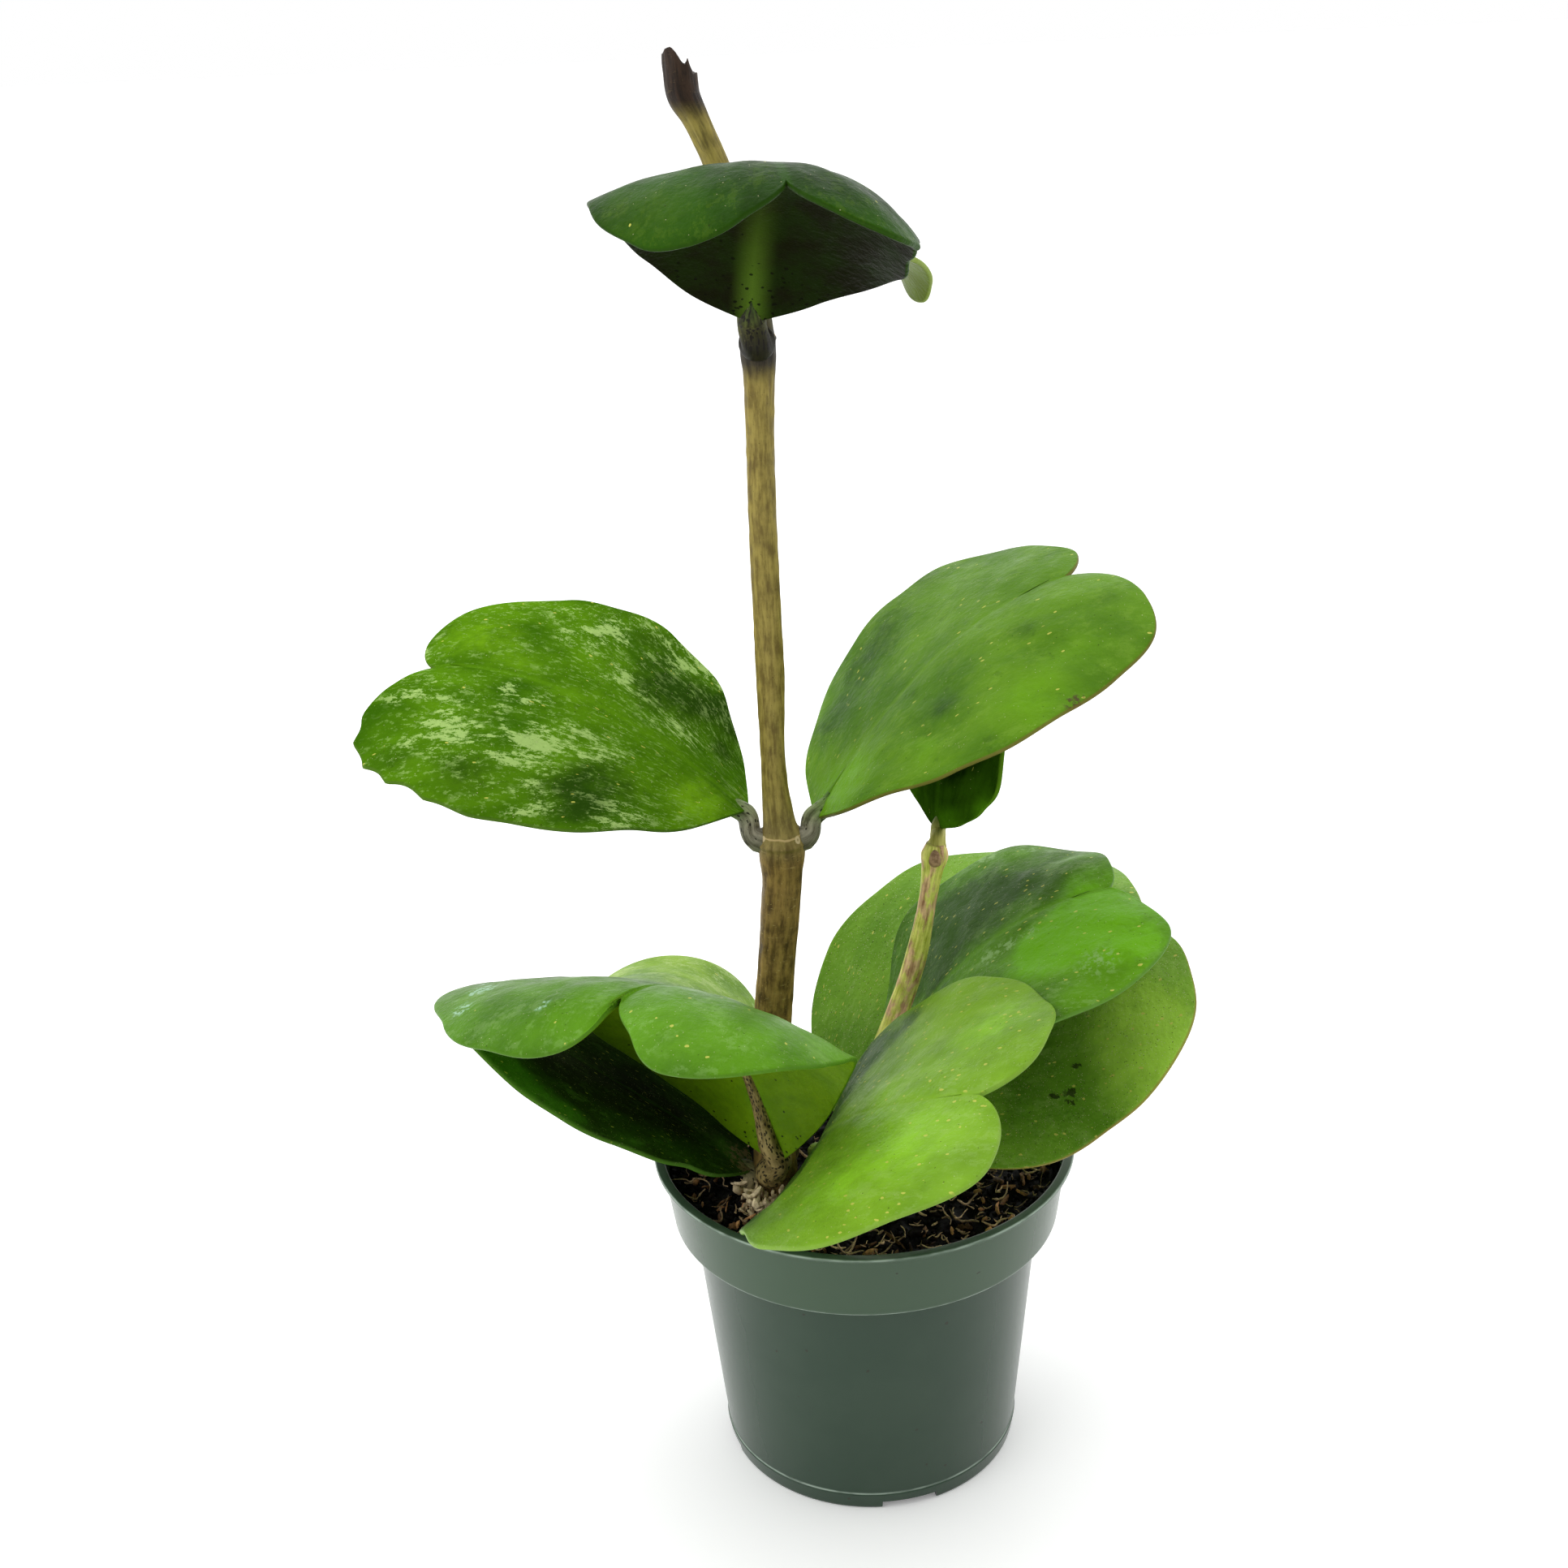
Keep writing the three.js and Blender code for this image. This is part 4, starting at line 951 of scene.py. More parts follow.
def bent(leaf, frames, x, y):
    """Where the flat point (x, y) of a leaf lies: the midrib's centre at y, and from it an arc of half
    the width and the cup's angle c, across by h sin(c |x| / h) / c and up by h (1 - cos(c x / h)) /
    c."""
    walked, centre, right, up = frames
    at = np.clip(y, 0, walked[-1])
    centre, right, up = (np.stack([np.interp(at, walked, part[:, k]) for k in range(3)], -1)
                         for part in (centre, right, up))
    half = leaf["width"] / 2
    tipward = np.clip(y / leaf["length"], 0, 1)
    left_base, left_tip, right_base, right_tip = leaf["cup"]
    left = left_base + (left_tip - left_base) * tipward
    right_side = right_base + (right_tip - right_base) * tipward
    cup = np.where(x < 0, left, right_side)
    arc = np.radians(np.where(np.abs(cup) < 0.1, 0.1, cup))
    across = np.sign(x) * half * np.sin(arc * np.abs(x) / half) / arc
    lift = half * (1 - np.cos(arc * x / half)) / arc
    return centre + right * across[..., None] + up * lift[..., None]


def face_of(leaf, frames, x, y):
    """The unit normal of the bent blade at flat points, from points half a millimetre either side."""
    across = bent(leaf, frames, x + 0.5, y) - bent(leaf, frames, x - 0.5, y)
    along = bent(leaf, frames, x, y + 0.5) - bent(leaf, frames, x, np.maximum(y - 0.5, 0))
    normal = np.cross(across, along)
    return normal / np.linalg.norm(normal, axis=-1, keepdims=True)


def share_out(leaf, x, y):
    """How far out a flat point is, from 0 at the blade's middle to 1 at its margin, and its direction
    there."""
    middle = leaf["length"] / 2
    shares = np.linspace(0, 1, 400)
    rim = np.concatenate([leaf_margin(leaf, 1, shares), leaf_margin(leaf, -1, shares)])
    rim_angle = np.arctan2(rim[:, 1] - middle, rim[:, 0])
    order = np.argsort(rim_angle)
    angle = np.arctan2(y - middle, x)
    rim_reach = np.hypot(rim[:, 0], rim[:, 1] - middle)
    reach = np.interp(angle, rim_angle[order], rim_reach[order], period=2 * math.pi)
    return np.clip(np.hypot(x, y - middle) / reach, 0, 1), angle


def blade_faces():
    """Faces of a pillow: an upper grid, rows from base to notch and columns from left to right, and a
    lower one that shares its base row and both margins. The last row of both is one point. Returns the
    numbers of the points that are used, then quads and triangles that count in those."""
    columns = 2 * HALF_COLUMNS - 1
    upper = np.arange(BLADE_ROWS * columns).reshape(BLADE_ROWS, columns)
    upper[-1] = upper[-1, 0]
    lower = upper + BLADE_ROWS * columns
    lower[:, 0], lower[:, -1], lower[0], lower[-1] = upper[:, 0], upper[:, -1], upper[0], upper[-1]
    quads, triangles = [], []
    for sheet, order in ((upper, slice(None)), (lower, slice(None, None, -1))):
        near, far = sheet[:-1], sheet[1:]
        block = np.stack([near[:, :-1], near[:, 1:], far[:, 1:], far[:, :-1]], -1)
        quads.append(block[:-1].reshape(-1, 4)[:, order])
        triangles.append(block[-1][:, :3][:, order])
    used, numbers = np.unique(np.concatenate([*(q.ravel() for q in quads), *(t.ravel() for t in triangles)]),
                              return_inverse=True)
    split = sum(q.size for q in quads)
    return used, numbers[:split].reshape(-1, 4), numbers[split:].reshape(-1, 3)


BLADE_USED, BLADE_QUADS, BLADE_TRIANGLES = blade_faces()


def soft_marks(leaf, flat, kind):
    """The sum at flat points of soft round marks, each amount times exp(-(d / size) squared). A mark's
    place is given as shares of half the width and of the length, and its size in millimetres."""
    total = np.zeros(flat.shape[:-1])
    for across, along, size, amount in leaf.get(kind, ()):
        middle = (across * leaf["width"] / 2, along * leaf["length"])
        total = total + amount * np.exp(-np.sum((flat - middle) ** 2, -1) / size ** 2)
    return total


def on_both_faces(entries):
    """What the points of a blade's upper grid have, for its upper and its lower points."""
    return np.concatenate([entries, entries]).reshape(-1, *entries.shape[2:])[BLADE_USED]


def make_blade(leaf, seed):
    """Points and readings of a blade. Each row runs from the midrib at (1 - notch) L u to the row power
    out to the margin at the share u of its length, with columns closer at both ends by the cosine rule.
    The upper and lower points stand off by half the thickness, which falls as a quarter circle to
    nothing at the margin. Bumps, faint side veins and the midrib's groove are worked in along the
    normal."""
    u = np.linspace(0, 1, BLADE_ROWS)
    spread = (1 - np.cos(np.pi * np.linspace(0, 1, HALF_COLUMNS))) / 2
    midrib = np.stack([0 * u, (1 - leaf["notch"]) * leaf["length"] * u ** ROW_POWER], -1)[:, None]
    halves = []
    for side in (-1, 1):
        margin = leaf_margin(leaf, side, u)[:, None]
        halves.append(midrib + (margin - midrib) * spread[None, :, None])
    flat = np.concatenate([halves[0][:, :0:-1], halves[1]], 1)
    reach = np.concatenate([np.linalg.norm(halves[0][:, -1:] - midrib, axis=-1) * (1 - spread[:0:-1]),
                            np.linalg.norm(halves[1][:, -1:] - midrib, axis=-1) * (1 - spread)], 1)
    x, y = flat[..., 0], flat[..., 1]
    frames = midrib_frames(leaf)
    normal = face_of(leaf, frames, x, y)
    fraction, angle = share_out(leaf, x, y)
    height, count, phase = leaf["wave"]
    wave = height * fraction ** 3 * np.sin(count * angle + phase)
    centre = bent(leaf, frames, x, y) + normal * wave[..., None]
    rounding = np.clip(np.minimum(reach, y + 0.05) / MARGIN_ROUNDING, 0, 1)
    thick = BLADE_THICKNESS + (MARGIN_THICKNESS - BLADE_THICKNESS) * fraction ** 4
    half = thick / 2 * np.sqrt(1 - (1 - rounding) ** 2)
    spot = np.stack([x, y, 0 * x], -1)
    inner = np.clip(reach / BUMP_FADE, 0, 1)
    bumps = sum(share * lumps(spot, size, seed + k) for k, (share, size) in enumerate(BUMP_SIZES))
    relief = leaf["bumps"] * bumps
    vein_place = u[:, None] * VEIN_COUNT + 0.12 * lumps(spot, 20, seed + 3)
    vein = 0.1 * np.sin(2 * np.pi * vein_place) * np.clip(np.abs(x) / BUMP_FADE, 0, 1)
    groove = sum(depth * np.exp(-(x / width) ** 2) for depth, width in GROOVE)
    above = half + inner * (relief + vein) - groove * np.clip(reach / 2, 0, 1)
    below = half + inner * 0.4 * relief
    above, below = (np.where(half > 0, np.maximum(stand, LEAST_THICKNESS * half), 0)
                    for stand in (above, below))
    sheets = np.concatenate([centre + normal * above[..., None], centre - normal * below[..., None]])
    fan = np.stack([0.5 * np.arctan2(x, y + FAN_POINT), np.hypot(x, y + FAN_POINT) / MAP_UNIT], -1)
    readings = {
        "flat": flat / MAP_UNIT,
        "fan": fan,
        "edge": np.clip(reach / NEAR, 0, 1),
        "across": np.clip(np.abs(x) / NEAR, 0, 1),
        "along": y / leaf["length"],
        # soft marks of painted shade and painted light, and of the leaf's own tone
        "patch": soft_marks(leaf, flat, "painted_light_and_tone_marks"),
        # real stains, and on the front right leaf a painted sheen, as soft marks
        "stain": soft_marks(leaf, flat, "stains_and_sheens"),
        "flecked": (0.2 if "flecks" in leaf else 0.5) + soft_marks(leaf, flat, "flecks"),
    }
    readings = {label: on_both_faces(entries) for label, entries in readings.items()}
    readings["upper"] = np.repeat([1.0, 0.0], x.size)[BLADE_USED]
    return sheets.reshape(-1, 3)[BLADE_USED], readings, frames


def make_stalk(leaf, frames, seed):
    """Points, faces and readings of the stalk and the rib under the blade, a tube. It starts in the
    stem, leaves it square on a cubic curve to the blade's base, thickest at its foot, and then follows
    the underside and thins."""
    stem, z, azimuth, radius = leaf["stalk"]
    stations = np.array(stem)
    centre_x, centre_y, stem_radius = (np.interp(z, stations[:, 2], stations[:, k]) for k in (0, 1, 3))
    azimuth, climb = math.radians(azimuth), math.radians(leaf.get("stalk_rise", 0))
    level = math.cos(climb)
    outward = np.array([math.cos(azimuth) * level, math.sin(azimuth) * level, math.sin(climb)])
    foot = np.array([centre_x, centre_y, z]) + outward * (stem_radius + 0.5)
    base = np.asarray(leaf["base"], float)
    pull = BOW_PULL * np.linalg.norm(base - foot)
    ahead = bent(leaf, frames, np.zeros(1), np.full(1, 2.0))[0] - base
    ahead /= np.linalg.norm(ahead)
    bow = bezier(foot, foot + outward * pull, base - ahead * pull, base, BOW_ROWS)
    y = np.linspace(RIB[0][0], RIB_END, RIB_ROWS) * leaf["length"]
    at, shares = np.array(RIB).T
    share = np.interp(y / leaf["length"], [*at, RIB_END], [*shares * leaf.get("rib", 1), RIB_TIP])
    sunk = (RIB_SUNK - radius * share)[:, None]
    rib = bent(leaf, frames, 0 * y, y) + face_of(leaf, frames, 0 * y, y) * sunk
    rough = np.concatenate([[foot - outward * depth for depth in BURIED], bow[:-1], rib])
    swell = 1 + FOOT_SWELL * np.exp(-np.linspace(0, 7, len(bow) - 1))
    buried = [radius * BURIED_SWELL] * len(BURIED)
    rough_radius = np.concatenate([buried, radius * swell, radius * share])
    walked = length_along(rough)
    along = np.linspace(0, walked[-1], STALK_ROWS)
    path = np.stack([np.interp(along, walked, rough[:, k]) for k in range(3)], -1)
    smooth = np.array([1, 2, 3, 2, 1]) / 9
    path[2:-2] = sum(weight * path[k:len(path) - 4 + k] for k, weight in enumerate(smooth))
    thick = np.interp(along, walked, rough_radius)
    rings = tube(path, thick, STALK_SIDES, np.cross(ahead, (0.0, 0.0, 1.0)) + (0.01, 0.02, 0.03))
    relief = 0.1 * lumps(rings, 2.2, seed + 7) + 0.05 * lumps(rings, 0.9, seed + 8)
    rings = swollen(path, rings, thick, relief * np.clip(thick / radius, 0, 1)[:, None])
    points, faces, each = closed_tubes(rings[None])
    past = np.repeat((along - walked[len(bow) + 1]) / leaf["length"], STALK_SIDES)
    turn = np.tile(circle(STALK_SIDES), len(along))
    on_blade = np.stack([np.cos(turn) * radius, np.maximum(past, 0) * leaf["length"]], -1) / MAP_UNIT
    readings = dict.fromkeys(BLADE_VALUES, np.zeros(each))
    readings.update(flat=with_ends(on_blade), fan=with_ends(on_blade), along=with_ends(past),
                    edge=np.ones(each), skin=skin_map(STALK_SIDES, along, STALK_SKIN_RADIUS))
    return points, faces, readings


def leaf_skin_group():
    """The skin of a blade, on its flat map and on one that fans out from its base. Upper side: cloudy
    tone from deep to bright, dark and pale patches that are the leaf's own tone on some leaves and
    painted shade and painted light on others, long pale mottles that fan out where the leaf is flecked,
    yellow ticks, dark blotches, fine dust, torn stains, which on one leaf are a painted sheen, a line
    along the midrib and a thin rim. Under side: one colour, paler along the rib, with dark specks near
    the base."""
    tree, given, out = new_group("leaf_skin", {
        "Vector": ["Shift"],
        "Color": LEAF_COLOURS,
        "Float": LEAF_AMOUNTS,
    }, SKIN_OUTPUTS)
    flat, fan = (vector_maths(tree, "ADD", own_map(tree, label), given["Shift"]) for label in ("flat", "fan"))
    upper, edge, across, along, patch, stain, flecked = (reading(tree, label) for label in BLADE_VALUES)
    # Tone, and patches: the leaf's own tone on some leaves, painted shade and painted light on others
    cloud = noise(tree, flat, 3.6, 4.0, 0.52)
    streak = noise(tree, scaled(tree, fan, 1.0, 0.22, 1.0), 26.0, 4.0, 0.6)
    blend = maths(tree, "ADD", times(tree, cloud, 0.7), times(tree, streak, 0.3))
    colour = mix(tree, rise(tree, blend, 0.34, 0.66), given["Deep"], given["Bright"])
    uneven = rise(tree, noise(tree, flat, 15.0, 5.0, 0.65), 0.32, 0.68, 0.72, 1.22)
    ragged = times(tree, patch, uneven)
    # Mottles
    field = times(tree, rise(tree, noise(tree, flat, 7.0, 3.0, 0.6), 0.38, 0.6, 0.3, 1.8), flecked)
    flecks = noise(tree, scaled(tree, fan, 1.0, 0.3, 1.0), 38.0, 10.0, 0.82)
    grit = noise(tree, scaled(tree, fan, 1.0, 0.4, 1.0), 150.0, 5.0, 0.7)
    dense = maths(tree, "MULTIPLY_ADD", grit, 0.32, maths(tree, "MULTIPLY_ADD", field, 0.05, flecks))
    plain = rise(tree, maths(tree, "ABSOLUTE", patch), 0.25, 0.8, 1.0, 0.4)
    mottle = times(tree, rise(tree, dense, 0.715, 0.755), rise(tree, field, 0.1, 0.7, 0.0, 0.8))
    mottle = times(tree, times(tree, mottle, plain), given["Mottle Amount"])
    fine = noise(tree, scaled(tree, fan, 1.0, 0.35, 1.0), 120.0, 7.0, 0.72)
    fine = times(tree, rise(tree, fine, 0.54, 0.6), rise(tree, cloud, 0.36, 0.6, 0.1, 0.75))
    fine = times(tree, times(tree, fine, plain), given["Mottle Amount"])
    # Small marks
    blotch = rise(tree, noise(tree, flat, 16.0, 5.0, 0.66), 0.6, 0.68)
    blotch = times(tree, blotch, given["Blotch Amount"])
    ticks = grains(tree, scaled(tree, fan, 1.0, 0.34, 1.0), 95.0, 0.16, given["Tick Amount"], 0.006)
    dirt = grains(tree, flat, 120.0, 0.16, given["Dust Amount"], 0.004)
    dust = grains(tree, flat, 210.0, 0.2, given["Dust Amount"], 0.003)
    torn = rise(tree, noise(tree, flat, 60.0, 4.0, 0.7), 0.4, 0.6, 0.2, 1.6)
    colour = layered(
        tree, colour,
        # painted shade and painted light on many leaves: the dark and the pale colours over the soft patches;
        # on the others these are the leaf's own tone
        (rise(tree, ragged, -0.06, -0.85, 0.0, 0.94), given["Dark"]),
        (rise(tree, ragged, 0.06, 0.85, 0.0, 0.94), given["Pale"]),
        (fine, mix(tree, 0.5, given["Mottle"], given["Bright"])),
        (mottle, given["Mottle"]),
        (times(tree, blotch, 0.75), "#1c3310"),
        (times(tree, ticks, 0.75), "#c3c25a"),
        (times(tree, dirt, 0.8), "#2b2215"),
        (times(tree, dust, 0.6), "#cfc9a0"),
        # stains, and on the front right leaf a painted sheen: the stain colour over the soft stain marks,
        # torn by noise
        (rise(tree, times(tree, stain, torn), 0.25, 0.75, 0.0, 0.8), given["Stain And Sheen"]),
        (rise(tree, across, 0.03, 0.13, 0.55, 0.0), given["Bright"]),
    )
    # Under side
    shade = rise(tree, noise(tree, flat, 12.0, 4.0, 0.6), 0.35, 0.65, 0.0, 0.35)
    rib = times(tree, rise(tree, across, -0.1, 0.5, 0.6, 0.0), rise(tree, along, 0.02, 0.5, 1.0, 0.12))
    specks = times(tree, rise(tree, along, 0.05, 0.22, 1.0, 0.06), given["Speck Amount"])
    specks = grains(tree, flat, 75.0, 0.26, specks, 0.012)
    under = layered(
        tree, given["Underside"],
        (shade, given["Deep"]),
        (rib, given["Pale"]),
        (times(tree, specks, 0.9), "#0b0c04"),
    )
    rim = rise(tree, edge, 0.01, 0.06, 0.75, 0.0)
    tree.links.new(mix(tree, rim, mix(tree, upper, under, colour), given["Rim"]), out["Colour"])
    gloss = rise(tree, noise(tree, flat, 22.0, 4.0, 0.65), 0.3, 0.7, 0.3, 0.48)
    gloss = maths(tree, "ADD", gloss, times(tree, mottle, 0.12))
    tree.links.new(maths(tree, "ADD", gloss, times(tree, dirt, 0.25)), out["Roughness"])
    height = maths(tree, "ADD", noise(tree, flat, 60.0, 4.0, 0.6), times(tree, streak, 0.5))
    height = maths(tree, "ADD", height, times(tree, ticks, 0.3))
    tree.links.new(maths(tree, "SUBTRACT", height, times(tree, blotch, 0.2)), out["Height"])
    return tree


LEAF_SKIN = leaf_skin_group()


def leaf_material(name, shift, leaf):
    """The leaf skin with one leaf's own tones, on a waxy satin shader."""
    material, tree, shader = new_material(name, Specular_IOR_Level=leaf["wax"])
    values = dict(zip(LEAF_COLOURS + LEAF_AMOUNTS, leaf["colours"] + leaf["amounts"]), Shift=shift)
    skin = node(tree, "ShaderNodeGroup", values, node_tree=LEAF_SKIN)
    attach(tree, shader, *skin.outputs, 0.55, 0.0006)
    return material


def stalk_material(name, leaf):
    """Skin of the stalk, with dark dashes and a dark foot, that turns to the leaf's green at the blade."""
    material, tree, shader = new_material(name, Specular_IOR_Level=0.15)
    tones = dict(zip(LEAF_COLOURS, leaf["colours"]))
    stalk_dark, stalk_pale, dash_amount, foot_amount, bare = leaf["stalk_skin"]
    green = rise(tree, reading(tree, "along"), bare - 0.14, bare)
    dark = mix(tree, green, stalk_dark, tones["Underside"])
    pale = mix(tree, green, stalk_pale, tones["Bright"])
    colour, roughness, relief = bark(tree, dark, pale, "#b7a878", 0.3)
    place = own_map(tree, "skin")
    dashes = grains(tree, scaled(tree, place, 1.8, 0.9, 1.0), 8.5, 0.38, dash_amount, 0.09)
    colour = layered(
        tree, colour,
        (times(tree, dashes, 0.9), "#120d07"),
        (rise(tree, parted(tree, place)["Y"], 0.35, 0.8, foot_amount, 0.0), "#120e09"),
    )
    attach(tree, shader, colour, roughness, relief, 0.4, 0.0005)
    return material


def make_leaf(name, leaf, seed):
    """One leaf: its blade and its stalk in one mesh, the stalk with a material of its own up to the blade."""
    points, on_blade, frames = make_blade(leaf, seed)
    stalk_points, stalk_faces, on_stalk = make_stalk(leaf, frames, seed)
    on_blade["skin"] = np.zeros((len(points), 2))
    readings = {label: np.concatenate([on_blade[label], on_stalk[label]])
                for label in ("flat", "fan", "skin", *BLADE_VALUES)}
    faces = [BLADE_QUADS, BLADE_TRIANGLES, *(block + len(points) for block in stalk_faces)]
    shift = (*np.random.default_rng(seed).uniform(0, 9, 2), 0.0)
    materials = [leaf_material(name + "_skin", shift, leaf), stalk_material(name + "_stalk", leaf)]
    piece = new_piece(name.replace("leaf_", "") + "_leaf", np.concatenate([points, stalk_points]), faces,
                      leaf["slot"], [name], materials, readings)
    bare = [on_stalk["along"][block].min(1) < leaf["stalk_skin"][-1] for block in stalk_faces]
    material_of = np.concatenate([np.zeros(len(BLADE_QUADS) + len(BLADE_TRIANGLES)), *bare]).astype(np.int32)
    piece.data.polygons.foreach_set("material_index", material_of)


FIRST_LEAF_SEED = 101
LEAF_GROUPS = {
    "turn": ("azimuth", "rise", "roll"),
    "bend": ("curl", "curl_power", "sway", "twist"),
    "form": ("length", "width", "notch", "shoulder", "lopsided", "fullness"),
}
